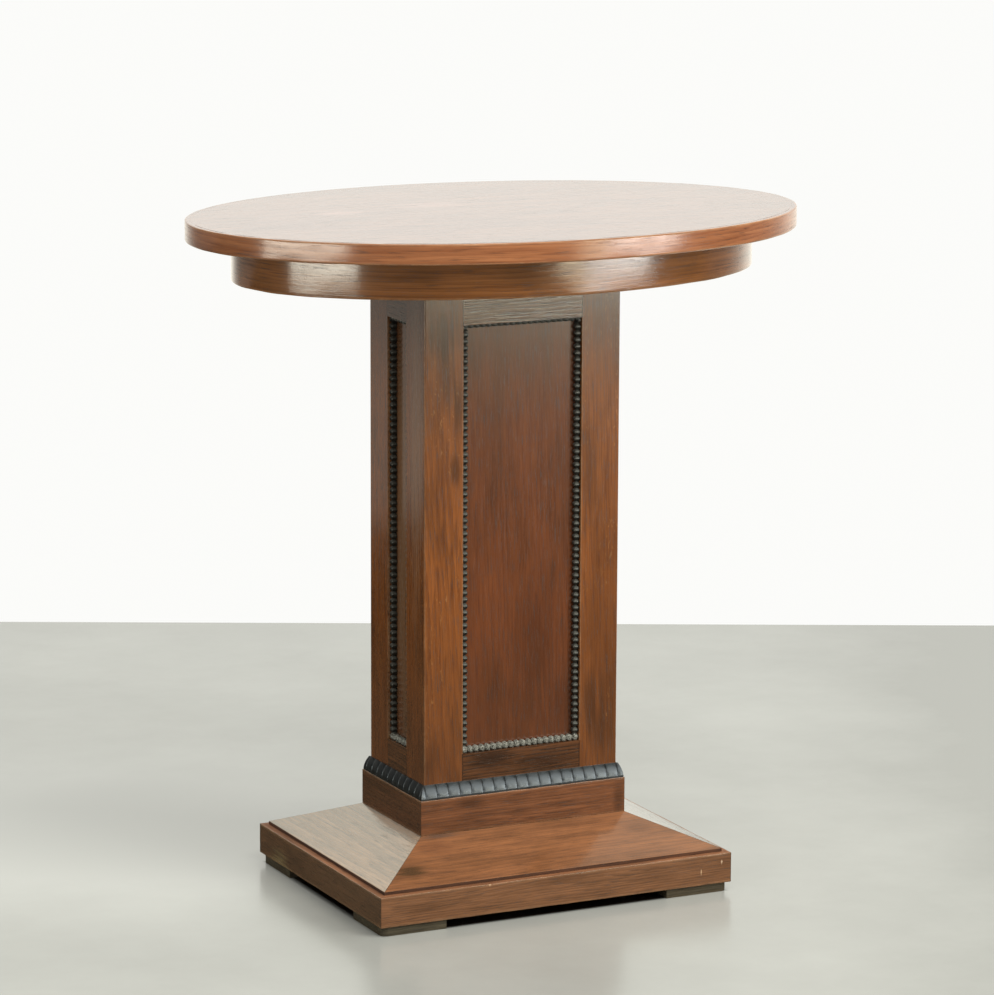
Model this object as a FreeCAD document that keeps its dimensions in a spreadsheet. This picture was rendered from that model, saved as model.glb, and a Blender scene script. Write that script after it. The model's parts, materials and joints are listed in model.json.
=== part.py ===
import FreeCAD, Part
import math
import os
import Sketcher

# An oval side table. An elliptical top and apron stand on a framed and panelled pedestal,
# which rises from a sloped, mitred base on four pad feet.
# X runs along the oval, the front faces -Y, Z is up, and the origin is on the floor
# under the middle of the column. All lengths are in millimetres.

SIZES = [
    ("topLength", 709, "length of the oval top"),
    ("topWidth", 508, "width of the oval top"),
    ("topThickness", 22.7, "thickness of the top at its edge"),
    ("bandThickness", 6, "bent edge band round the top board"),
    ("topArris", 1.6, "rounding of the band's outer edges"),
    ("apronOverhang", 50, "how far the top stands out past the apron"),
    ("apronHeight", 44.1, "height of the apron hoop and of the bearers in it"),
    ("apronWall", 19, "wall of the apron hoop"),
    ("apronArris", 1, "rounding of the hoop's lower outer edge"),
    ("bearerWidth", 60, "width of the two bearers that carry the top"),
    ("bearerFit", 0.2, "clearance between the hoop and what fits inside it"),
    ("blockDepth", 18, "depth of a glue block behind the hoop"),
    ("blockLength", 34, "length of a glue block along the hoop"),
    ("blockHeight", 30, "height of a glue block under the top"),
    ("columnWidth", 239, "width of the column at the front"),
    ("columnDepth", 144, "depth of the column"),
    ("postSize", 47, "square of a corner post"),
    ("postArris", 1.5, "rounding of a post's outer arris"),
    ("railFace", 47, "height of a rail that shows above or below the opening"),
    ("railThickness", 22, "thickness of a rail"),
    ("openingHeight", 480.4, "height of the framed opening"),
    ("panelRecess", 9, "depth of the panel's face behind the frame's face"),
    ("panelThickness", 6, "thickness of a panel, and width of its groove"),
    ("grooveDepth", 8, "depth of the panel groove"),
    ("panelPlay", 0.5, "play of a panel in the bottom of its groove"),
    ("tenonLength", 20, "length of a rail's tenon"),
    ("tenonThickness", 8, "thickness of a rail's tenon"),
    ("tenonInset", 7, "from the frame's face to a tenon's cheek"),
    ("tenonShoulder", 10, "shoulder above and below a tenon"),
    ("postTenonSize", 25, "square of the tenon on a post's top"),
    ("postTenonLength", 15, "length of the tenon on a post's top"),
    ("beadRadius", 3.85, "radius of one bead round a panel"),
    ("beadNeck", 1.4, "radius of the neck between two beads"),
    ("beadPitch", 7.2, "distance from bead to bead"),
    ("beadSeat", 0.35, "depth of the flats where beads meet frame and panel"),
    ("gadroonHeight", 16, "height of the lobed moulding at the column's foot"),
    ("gadroonTopProud", 1.4, "how far the moulding's top stands out of the column"),
    ("gadroonFootProud", 6.3, "how far the moulding's foot stands out of the column"),
    ("gadroonFillet", 2, "height of the plain fillet under the lobes"),
    ("lobePitch", 14, "width of one lobe"),
    ("lobeDepth", 1.7, "depth of the valleys between lobes"),
    ("lobeBulge", 1.3, "bulge of a lobe between its top and foot"),
    ("plinthProud", 7.2, "thickness of the plinth boards on the column's foot"),
    ("plinthHeight", 39.8, "height of the plinth boards"),
    ("plinthArris", 0.8, "rounding of the plinth's upper edge"),
    ("slopeRise", 32.4, "rise of the sloped boards"),
    ("slopeStep", 3.8, "edge of the sloped boards above the rim"),
    ("slopeArris", 0.8, "rounding of that edge"),
    ("rimReach", 96.5, "from the column's face out to the rim's face"),
    ("rimHeight", 34.4, "height of the rim boards"),
    ("rimThickness", 22, "thickness of the rim boards"),
    ("rimArris", 1.2, "rounding of the rim's outer edges"),
    ("ledgeWidth", 8, "ledge of the rim that shows outside the sloped boards"),
    ("baseBoardThickness", 18, "thickness of the board inside the rim"),
    ("cornerBlockSize", 45, "square of a block in the rim's corner"),
    ("footHeight", 10.4, "height of a pad foot"),
    ("footSize", 77, "square of a pad foot"),
    ("footInset", 3, "from the rim's face in to a foot's side"),
    ("footCorner", 8, "rounding of a foot's outer corner"),
    ("screwRadius", 2.25, "radius of a screw's shank"),
    ("screwHeadRadius", 4.5, "radius of a screw's head"),
    ("screwHeadHeight", 3, "height of a screw's head"),
    ("screwHeadRound", 1.2, "rounding of a screw's head"),
    ("screwSlot", 1.2, "width of the slot in a screw's head"),
    ("screwSlotDepth", 1.3, "depth of the slot in a screw's head"),
    ("screwPoint", 5, "length of a screw's point"),
    ("screwTipRadius", 0.6, "radius of a screw's blunt tip"),
    ("recessRadius", 5.5, "radius of the recess that a screw's head goes into"),
    ("bearerScrewInset", 40, "from the hoop in to a bearer's screw"),
    ("bearerScrewRecess", 16, "depth of the recess in a bearer"),
    ("bearerScrewBite", 13, "depth of a bearer's screw in the top"),
    ("postScrewRecess", 6, "depth of the recess under the base board"),
    ("postScrewBite", 36, "depth of a screw in a post's foot"),
    ("footScrewRecess", 4.4, "depth of the recess under a foot"),
    ("footScrewShortfall", 3.4, "from a foot's screw up to the top of its corner block"),
    ("overrun", 1, "how far a cutting shape runs past the face it cuts"),
]

SLIVER_SHARE = 0.001
BLOCK_ANGLES = [0, 35, 90, 145, 180, 215, 270, 325]
FOOT_SCREW_SHARES = [(0.3, 0.7), (0.7, 0.3)]

doc = FreeCAD.newDocument("OvalSideTable")
sheet = doc.addObject("Spreadsheet::Sheet", "Sizes")
for row, (name, value, note) in enumerate(SIZES, start=1):
    sheet.set("A%d" % row, name)
    sheet.set("B%d" % row, str(value))
    sheet.set("C%d" % row, note)
    sheet.setAlias("B%d" % row, name)
doc.recompute()

parts = []


# Sizes and levels, as expressions in the names of the sheet

def total(*names):
    return " + ".join("Sizes." + name for name in names)


def number(expression):
    return float(sheet.evalExpression(expression))


def size(name):
    return number("Sizes." + name)


rimLevel = total("footHeight")
ledgeLevel = total("footHeight", "rimHeight")
slopeLevel = ledgeLevel + " + " + total("slopeStep")
plinthLevel = slopeLevel + " + " + total("slopeRise")
gadroonLevel = plinthLevel + " + " + total("plinthHeight")
openingLevel = gadroonLevel + " + " + total("railFace")
topRailLevel = openingLevel + " + " + total("openingHeight")
columnTopLevel = topRailLevel + " + " + total("railFace")
undersideLevel = columnTopLevel + " + " + total("apronHeight")

# Each side of the column has a frame of its own: its origin at the column's left corner as
# one faces that side, X along the side and Y inwards. The post of that corner is named too.
SIDES = [
    ("front", 0, "-Sizes.columnWidth / 2", "-Sizes.columnDepth / 2", "Sizes.columnWidth", "front_left"),
    ("right", 90, "Sizes.columnWidth / 2", "-Sizes.columnDepth / 2", "Sizes.columnDepth", "front_right"),
    ("back", 180, "Sizes.columnWidth / 2", "Sizes.columnDepth / 2", "Sizes.columnWidth", "back_right"),
    ("left", 270, "-Sizes.columnWidth / 2", "Sizes.columnDepth / 2", "Sizes.columnDepth", "back_left"),
]


def sidePlacement(side):
    turn = FreeCAD.Rotation(FreeCAD.Vector(0, 0, 1), side[1])
    return FreeCAD.Placement(FreeCAD.Vector(number(side[2]), number(side[3]), 0), turn)


def keep(piece, label, side=None):
    # The piece becomes a sub-part, and one of a side moves to that side's frame.
    piece.Label = label
    if side:
        piece.Placement = sidePlacement(side)
        piece.setExpression(".Placement.Base.x", side[2])
        piece.setExpression(".Placement.Base.y", side[3])
    parts.append(piece)
    return piece


# Sketches, pads and pockets

def originPlane(body, role):
    return next(item for item in body.Origin.OriginFeatures if item.Role == role)


def newSketch(body, name, level, plane="XY_Plane"):
    sketch = body.newObject("Sketcher::SketchObject", name)
    sketch.AttachmentSupport = [(originPlane(body, plane), "")]
    sketch.MapMode = "FlatFace"
    sketch.setExpression(".AttachmentOffset.Base.z", level)
    return sketch


def drive(sketch, constraint, expression):
    index = sketch.addConstraint(constraint)
    sketch.setExpression("Constraints[%d]" % index, expression)


def drawOutline(sketch, points):
    # A closed outline of straight edges, each corner held by two driven distances.
    start = len(sketch.Geometry)
    count = len(points)
    spots = [FreeCAD.Vector(number(across), number(along), 0) for across, along in points]
    for index in range(count):
        sketch.addGeometry(Part.LineSegment(spots[index], spots[(index + 1) % count]), False)
    for index in range(count):
        following = start + (index + 1) % count
        sketch.addConstraint(Sketcher.Constraint("Coincident", start + index, 2, following, 1))
    for index, (across, along) in enumerate(points):
        spot = spots[index]
        drive(sketch, Sketcher.Constraint("DistanceX", -1, 1, start + index, 1, spot.x), across)
        drive(sketch, Sketcher.Constraint("DistanceY", -1, 1, start + index, 1, spot.y), along)


def drawCircle(sketch, centre, radius):
    spot = FreeCAD.Vector(number(centre[0]), number(centre[1]), 0)
    circle = Part.Circle(spot, FreeCAD.Vector(0, 0, 1), number(radius))
    index = sketch.addGeometry(circle, False)
    drive(sketch, Sketcher.Constraint("Radius", index, circle.Radius), radius)
    drive(sketch, Sketcher.Constraint("DistanceX", -1, 1, index, 3, spot.x), centre[0])
    drive(sketch, Sketcher.Constraint("DistanceY", -1, 1, index, 3, spot.y), centre[1])


def drawOval(sketch, length, width):
    # An ellipse round the origin, held by the full length and width of its axes.
    centre = FreeCAD.Vector(0, 0, 0)
    oval = Part.Ellipse(centre, number(length) / 2, number(width) / 2)
    index = sketch.addGeometry(oval, False)
    sketch.exposeInternalGeometry(index)
    sketch.addConstraint(Sketcher.Constraint("Coincident", index, 3, -1, 1))
    sketch.addConstraint(Sketcher.Constraint("Horizontal", index + 1))
    drive(sketch, Sketcher.Constraint("Distance", index + 1, number(length)), length)
    drive(sketch, Sketcher.Constraint("Distance", index + 2, number(width)), width)


def rectangle(left, near, right, far):
    return [(left, near), (right, near), (right, far), (left, far)]


def padSketch(body, sketch, length):
    pad = body.newObject("PartDesign::Pad", sketch.Name + "_pad")
    pad.Profile = sketch
    pad.setExpression("Length", length)
    return pad


def addPad(body, name, points, low, high):
    sketch = newSketch(body, name, low)
    drawOutline(sketch, points)
    return padSketch(body, sketch, "%s - (%s)" % (high, low))


def addPocket(body, name, outlines, circles, low, high):
    # The sketch lies on the upper level and the pocket goes down to the lower one.
    sketch = newSketch(body, name, high)
    for points in outlines:
        drawOutline(sketch, points)
    for centre, radius in circles:
        drawCircle(sketch, centre, radius)
    pocket = body.newObject("PartDesign::Pocket", name + "_pocket")
    pocket.Profile = sketch
    pocket.setExpression("Length", "%s - (%s)" % (high, low))
    return pocket


def roundEdges(body, feature, name, radius, wanted):
    # Rounds each edge of the feature for which wanted(edge) is true.
    doc.recompute()
    names = ["Edge%d" % (index + 1) for index, edge in enumerate(feature.Shape.Edges) if wanted(edge)]
    if not names:
        raise RuntimeError("no edge to round on " + body.Name)
    fillet = body.newObject("PartDesign::Fillet", name)
    fillet.Base = (feature, names)
    fillet.setExpression("Radius", radius)
    return fillet


def near(first, second):
    return abs(first - second) < size("overrun") * SLIVER_SHARE


def levelEdgeAt(across, level):
    # True for a straight edge along X that lies at this Y and Z.
    def wanted(edge):
        box = edge.BoundBox
        flat = near(box.ZMin, number(level)) and near(box.ZMax, number(level))
        return flat and near(box.YMin, number(across)) and near(box.YMax, number(across))
    return wanted


# The top, its edge band and the apron hoop

def makeOvalRing(label, outerLength, outerWidth, wall, low, high):
    body = doc.addObject("PartDesign::Body", label)
    sketch = newSketch(body, label + "_plan", low)
    drawOval(sketch, outerLength, outerWidth)
    drawOval(sketch, "%s - 2 * %s" % (outerLength, wall), "%s - 2 * %s" % (outerWidth, wall))
    pad = padSketch(body, sketch, "%s - (%s)" % (high, low))
    return body, pad


def outerRimAt(length, levels):
    # True for the ring's outer edges, which are as long as the whole oval, at these levels.
    def wanted(edge):
        box = edge.BoundBox
        flat = any(near(box.ZMin, number(level)) and near(box.ZMax, number(level)) for level in levels)
        return flat and near(box.XLength, number(length))
    return wanted


tableTopLevel = undersideLevel + " + Sizes.topThickness"
boardLength = "Sizes.topLength - 2 * Sizes.bandThickness"
boardWidth = "Sizes.topWidth - 2 * Sizes.bandThickness"
bearerScrewX = "(Sizes.columnWidth - Sizes.postSize) / 2"
hoopInnerLength = "(Sizes.topLength - 2 * Sizes.apronOverhang - 2 * Sizes.apronWall)"
hoopInnerWidth = "(Sizes.topWidth - 2 * Sizes.apronOverhang - 2 * Sizes.apronWall)"
# The inner oval's Y where the middle of a bearer meets it, less the inset
bearerScrewY = "%s / 2 * sqrt(1 - (2 * %s / %s) ^ 2) - Sizes.bearerScrewInset" % (
    hoopInnerWidth, bearerScrewX, hoopInnerLength)
bearerScrewPlaces = [
    (east + bearerScrewX, north + "(" + bearerScrewY + ")") for east in ("-", "") for north in ("-", "")
]


def makeTopBoard():
    body = doc.addObject("PartDesign::Body", "top_board")
    sketch = newSketch(body, "top_board_plan", undersideLevel)
    drawOval(sketch, boardLength, boardWidth)
    padSketch(body, sketch, "Sizes.topThickness")
    pilots = [(place, "Sizes.screwRadius") for place in bearerScrewPlaces]
    bottom = undersideLevel + " - Sizes.overrun"
    addPocket(body, "top_board_pilots", [], pilots, bottom, undersideLevel + " + Sizes.bearerScrewBite")
    keep(body, "top_board")


def makeTopEdgeBand():
    body, pad = makeOvalRing("top_edge_band", "Sizes.topLength", "Sizes.topWidth",
                             "Sizes.bandThickness", undersideLevel, tableTopLevel)
    outer = outerRimAt("Sizes.topLength", [undersideLevel, tableTopLevel])
    roundEdges(body, pad, "top_edge_band_arris", "Sizes.topArris", outer)
    keep(body, "top_edge_band")


apronLength = "(Sizes.topLength - 2 * Sizes.apronOverhang)"
apronWidth = "(Sizes.topWidth - 2 * Sizes.apronOverhang)"


def makeApronHoop():
    body, pad = makeOvalRing("apron_hoop", apronLength, apronWidth,
                             "Sizes.apronWall", columnTopLevel, undersideLevel)
    outer = outerRimAt(apronLength, [columnTopLevel])
    roundEdges(body, pad, "apron_hoop_arris", "Sizes.apronArris", outer)
    keep(body, "apron_hoop")


# Bearers across the hoop, cut to its curve, on the tops of the posts

def makeBox(name, corner, lengths):
    box = doc.addObject("Part::Box", name)
    for field, expression in zip(("Length", "Width", "Height"), lengths):
        box.setExpression(field, expression)
    for field, expression in zip("xyz", corner):
        box.setExpression(".Placement.Base." + field, expression)
    return box


def makeCylinder(name, centre, low, high, radius):
    cylinder = doc.addObject("Part::Cylinder", name)
    cylinder.setExpression("Radius", radius)
    cylinder.setExpression("Height", "%s - (%s)" % (high, low))
    for field, expression in zip("xyz", (centre[0], centre[1], low)):
        cylinder.setExpression(".Placement.Base." + field, expression)
    return cylinder


def makeHoopInside():
    # The oval space inside the hoop, less the clearance that loose pieces have there.
    oval = doc.addObject("Part::Ellipse", "hoop_inside_outline")
    oval.setExpression("MajorRadius", apronLength + " / 2 - Sizes.apronWall - Sizes.bearerFit")
    oval.setExpression("MinorRadius", apronWidth + " / 2 - Sizes.apronWall - Sizes.bearerFit")
    oval.setExpression(".Placement.Base.z", columnTopLevel)
    inside = doc.addObject("Part::Extrusion", "hoop_inside")
    inside.Base = oval
    inside.DirMode = "Custom"
    inside.Dir = FreeCAD.Vector(0, 0, 1)
    inside.Solid = True
    inside.setExpression("LengthFwd", "Sizes.apronHeight")
    return inside


def makeBearer(label, hand, inside):
    middle = "%s(%s)" % (hand, bearerScrewX)
    blank = makeBox(label + "_blank",
                    (middle + " - Sizes.bearerWidth / 2", "-Sizes.topWidth / 2", columnTopLevel),
                    ("Sizes.bearerWidth", "Sizes.topWidth", "Sizes.apronHeight"))
    fitted = doc.addObject("Part::Common", label + "_fitted")
    fitted.Base = blank
    fitted.Tool = inside
    cuts = []
    for north in ("-", ""):
        tenonMiddle = "%s(Sizes.columnDepth - Sizes.postSize) / 2" % north
        cuts.append(makeBox(label + "_mortise",
                            (middle + " - Sizes.postTenonSize / 2",
                             tenonMiddle + " - Sizes.postTenonSize / 2",
                             columnTopLevel + " - Sizes.overrun"),
                            ("Sizes.postTenonSize", "Sizes.postTenonSize",
                             "Sizes.postTenonLength + Sizes.overrun")))
        centre = (middle, "%s(%s)" % (north, bearerScrewY))
        bottom = columnTopLevel + " - Sizes.overrun"
        cuts.append(makeCylinder(label + "_recess", centre, bottom,
                                 columnTopLevel + " + Sizes.bearerScrewRecess", "Sizes.recessRadius"))
        cuts.append(makeCylinder(label + "_hole", centre, bottom,
                                 undersideLevel + " + Sizes.overrun", "Sizes.screwRadius"))
    tools = doc.addObject("Part::MultiFuse", label + "_cuts")
    tools.Shapes = cuts
    bearer = doc.addObject("Part::Cut", label)
    bearer.Base = fitted
    bearer.Tool = tools
    keep(bearer, label)


def makeGlueBlocks(inside):
    # Square blocks in the angle of hoop and top, each cut to the hoop's curve.
    doc.recompute()
    semiLength = number(apronLength) / 2 - size("apronWall")
    semiWidth = number(apronWidth) / 2 - size("apronWall")
    blocks = []
    for angle in BLOCK_ANGLES:
        turn = math.radians(angle)
        spot = FreeCAD.Vector(semiLength * math.cos(turn), semiWidth * math.sin(turn), 0)
        heading = math.degrees(math.atan2(math.sin(turn) / semiWidth, math.cos(turn) / semiLength))
        corner = FreeCAD.Vector(-size("blockDepth"), -size("blockLength") / 2, 0)
        depth = size("blockDepth") + size("overrun")
        block = Part.makeBox(depth, size("blockLength"), size("blockHeight"), corner)
        spot.z = number(undersideLevel) - size("blockHeight")
        block.Placement = FreeCAD.Placement(spot, FreeCAD.Rotation(FreeCAD.Vector(0, 0, 1), heading))
        blocks.extend(block.common(inside.Shape).Solids)
    group = doc.addObject("Part::Feature", "apron_glue_blocks")
    group.Shape = Part.makeCompound(blocks)
    keep(group, "apron_glue_blocks")


# Screws, all driven upwards, in groups

def screwShape(foot, length):
    # A round-headed slotted wood screw: foot is the middle of the head's underside.
    up = FreeCAD.Vector(0, 0, 1)
    drop = FreeCAD.Vector(0, 0, size("screwHeadHeight"))
    head = Part.makeCylinder(size("screwHeadRadius"), size("screwHeadHeight"), foot - drop, up)
    rim = [edge for edge in head.Edges if near(edge.BoundBox.ZMax, foot.z - drop.z)]
    head = head.makeFillet(size("screwHeadRound"), rim)
    slotLength = 2 * size("screwHeadRadius")
    slotCorner = foot - drop - FreeCAD.Vector(slotLength / 2, size("screwSlot") / 2, 0)
    slot = Part.makeBox(slotLength, size("screwSlot"), size("screwSlotDepth"), slotCorner)
    shank = Part.makeCylinder(size("screwRadius"), length - size("screwPoint"), foot, up)
    tipFoot = foot + FreeCAD.Vector(0, 0, length - size("screwPoint"))
    tip = Part.makeCone(size("screwRadius"), size("screwTipRadius"), size("screwPoint"), tipFoot, up)
    return head.cut(slot).fuse([shank, tip]).removeSplitter()


def makeScrews(label, places, seatLevel, endLevel):
    length = number(endLevel) - number(seatLevel)
    solids = []
    for across, along in places:
        seat = FreeCAD.Vector(across, along, number(seatLevel))
        solids.extend(screwShape(seat, length).Solids)
    group = doc.addObject("Part::Feature", label)
    group.Shape = Part.makeCompound(solids)
    keep(group, label)


def onEverySide(places):
    # Places given in a side's frame, worked out for all four sides.
    spots = []
    for side in SIDES:
        frame = sidePlacement(side)
        for across, along in places:
            spot = frame.multVec(FreeCAD.Vector(number(across), number(along), 0))
            spots.append((spot.x, spot.y))
    return spots


# The column: posts, rails and panels

postMiddle = ("Sizes.postSize / 2", "Sizes.postSize / 2")
lowerTenon = (plinthLevel + " + Sizes.tenonShoulder", openingLevel + " - Sizes.tenonShoulder")
upperTenon = (topRailLevel + " + Sizes.tenonShoulder", columnTopLevel + " - Sizes.tenonShoulder")


def bothWays(points):
    # The outline, and the same outline with X and Y swapped, for a post's two inner faces.
    return [points, [(along, across) for across, along in points]]


def makePost(side):
    label = side[5] + "_post"
    body = doc.addObject("PartDesign::Body", label)
    square = rectangle("0", "0", "Sizes.postSize", "Sizes.postSize")
    shaft = addPad(body, label + "_shaft", square, ledgeLevel, columnTopLevel)

    def outerArris(edge):
        box = edge.BoundBox
        return near(box.XMax, 0) and near(box.YMax, 0) and near(box.ZLength, shaft.Shape.BoundBox.ZLength)

    roundEdges(body, shaft, label + "_arris", "Sizes.postArris", outerArris)
    low = "(Sizes.postSize - Sizes.postTenonSize) / 2"
    high = "(Sizes.postSize + Sizes.postTenonSize) / 2"
    addPad(body, label + "_tenon", rectangle(low, low, high, high),
           columnTopLevel, columnTopLevel + " + Sizes.postTenonLength")
    face = "Sizes.postSize + Sizes.overrun"
    groove = rectangle("Sizes.postSize - Sizes.grooveDepth", "Sizes.panelRecess",
                       face, "Sizes.panelRecess + Sizes.panelThickness")
    addPocket(body, label + "_grooves", bothWays(groove), [],
              openingLevel + " - Sizes.grooveDepth", topRailLevel + " + Sizes.grooveDepth")
    mortise = rectangle("Sizes.postSize - Sizes.tenonLength", "Sizes.tenonInset",
                        face, "Sizes.tenonInset + Sizes.tenonThickness")
    addPocket(body, label + "_lower_mortises", bothWays(mortise), [], *lowerTenon)
    addPocket(body, label + "_upper_mortises", bothWays(mortise), [], *upperTenon)
    addPocket(body, label + "_pilot", [], [(postMiddle, "Sizes.screwRadius")],
              ledgeLevel + " - Sizes.overrun", ledgeLevel + " + Sizes.postScrewBite")
    keep(body, label, side)


def makeRail(side, kind, low, high, tenon, groove):
    label = side[0] + "_" + kind
    span = side[4]
    body = doc.addObject("PartDesign::Body", label)
    bar = rectangle("Sizes.postSize", "0", span + " - Sizes.postSize", "Sizes.railThickness")
    addPad(body, label + "_bar", bar, low, high)
    tongue = rectangle("Sizes.postSize - Sizes.tenonLength", "Sizes.tenonInset",
                       span + " - Sizes.postSize + Sizes.tenonLength",
                       "Sizes.tenonInset + Sizes.tenonThickness")
    addPad(body, label + "_tenons", tongue, *tenon)
    channel = rectangle("Sizes.postSize - Sizes.overrun", "Sizes.panelRecess",
                        span + " - Sizes.postSize + Sizes.overrun",
                        "Sizes.panelRecess + Sizes.panelThickness")
    addPocket(body, label + "_groove", [channel], [], *groove)
    keep(body, label, side)


def makeRails(side):
    makeRail(side, "bottom_rail", plinthLevel, openingLevel, lowerTenon,
             (openingLevel + " - Sizes.grooveDepth", openingLevel + " + Sizes.overrun"))
    makeRail(side, "top_rail", topRailLevel, columnTopLevel, upperTenon,
             (topRailLevel + " - Sizes.overrun", topRailLevel + " + Sizes.grooveDepth"))


def makePanel(side):
    label = side[0] + "_panel"
    reach = "Sizes.grooveDepth + Sizes.panelPlay"
    sheetOutline = rectangle("Sizes.postSize - " + reach, "Sizes.panelRecess",
                             side[4] + " - Sizes.postSize + Sizes.grooveDepth - Sizes.panelPlay",
                             "Sizes.panelRecess + Sizes.panelThickness")
    body = doc.addObject("PartDesign::Body", label)
    addPad(body, label + "_sheet", sheetOutline,
           openingLevel + " - " + reach, topRailLevel + " + Sizes.grooveDepth - Sizes.panelPlay")
    keep(body, label, side)


# Strips of beads in the angle between frame and panel

def beadString(length):
    # Balls in a row along X, joined by necks, as one turned shape round the X axis.
    count = max(1, round(length / size("beadPitch")))
    pitch = length / count
    radius = size("beadRadius")
    half = min(math.sqrt(radius ** 2 - size("beadNeck") ** 2), pitch / 2)
    neck = math.sqrt(radius ** 2 - half ** 2)
    edges = []
    last = FreeCAD.Vector(0, 0, 0)
    for index in range(count):
        middle = (index + 0.5) * pitch
        begin = FreeCAD.Vector(middle - half, 0, neck)
        crown = FreeCAD.Vector(middle, 0, radius)
        end = FreeCAD.Vector(middle + half, 0, neck)
        if (begin - last).Length > radius * SLIVER_SHARE:
            edges.append(Part.makeLine(last, begin))
        edges.append(Part.Arc(begin, crown, end).toShape())
        last = end
    corners = [last, FreeCAD.Vector(length, 0, neck), FreeCAD.Vector(length, 0, 0), FreeCAD.Vector(0, 0, 0)]
    for first, second in zip(corners, corners[1:]):
        if (second - first).Length > radius * SLIVER_SHARE:
            edges.append(Part.makeLine(first, second))
    profile = Part.Face(Part.Wire(edges))
    return profile.revolve(FreeCAD.Vector(0, 0, 0), FreeCAD.Vector(1, 0, 0), 360)


def mitredBar(length, width):
    # A square bar along X whose ends are cut back at 45 degrees as Y grows.
    outline = Part.makePolygon([
        FreeCAD.Vector(0, 0, 0),
        FreeCAD.Vector(length, 0, 0),
        FreeCAD.Vector(length - width, width, 0),
        FreeCAD.Vector(width, width, 0),
        FreeCAD.Vector(0, 0, 0),
    ])
    return Part.Face(outline).extrude(FreeCAD.Vector(0, 0, width))


def beadStrip(length):
    # The corner of frame and panel is the X axis, with the frame at Y = 0 and the panel at
    # Z = 0. A square fillet backs the beads, which are flat where they meet frame and panel,
    # and both ends are mitred.
    offset = size("beadRadius") - size("beadSeat")
    string = beadString(length)
    string.translate(FreeCAD.Vector(0, offset, offset))
    room = mitredBar(length, offset + size("beadRadius") + size("overrun"))
    return string.fuse(mitredBar(length, offset)).common(room)


def seated(shape, origin, along, away):
    # A copy of the strip with its X axis turned to along and its Y axis to away.
    frame = FreeCAD.Matrix()
    for column, axis in enumerate((along, away, along.cross(away), origin)):
        frame.setCol(column, axis)
    copy = shape.copy()
    copy.Placement = FreeCAD.Placement(frame)
    return copy


def makeBeads(side, upright, level):
    # Four strips round the opening, in the side's frame. Y points inwards there, so the
    # strips stand on the panel's face towards -Y.
    inner = size("postSize")
    outer = number(side[4]) - inner
    face = size("panelRecess")
    low = number(openingLevel)
    high = number(topRailLevel)
    right = FreeCAD.Vector(1, 0, 0)
    up = FreeCAD.Vector(0, 0, 1)
    strips = {
        "bead_left": [seated(upright, FreeCAD.Vector(inner, face, high), -up, right)],
        "bead_right": [seated(upright, FreeCAD.Vector(outer, face, low), up, -right)],
        "bead_ends": [seated(level, FreeCAD.Vector(inner, face, low), right, up),
                      seated(level, FreeCAD.Vector(outer, face, high), -right, -up)],
    }
    for kind, shapes in strips.items():
        label = side[0] + "_" + kind
        piece = doc.addObject("Part::Feature", label)
        piece.Shape = Part.makeCompound(shapes)
        keep(piece, label, side)


# The lobed moulding round the column's foot

def mitreWedges(span, reach, low, high):
    # Two wedges that cut a piece along X off at both mitres, in a side's frame.
    over = size("overrun")
    wedges = []
    for start, inward in ((0, 1), (span, -1)):
        outline = Part.makePolygon([
            FreeCAD.Vector(start + inward * over, over, low - over),
            FreeCAD.Vector(start - inward * (reach + over), -(reach + over), low - over),
            FreeCAD.Vector(start - inward * (2 * reach + over), over, low - over),
            FreeCAD.Vector(start + inward * over, over, low - over),
        ])
        wedges.append(Part.Face(outline).extrude(FreeCAD.Vector(0, 0, high - low + 2 * over)))
    return wedges


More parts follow.
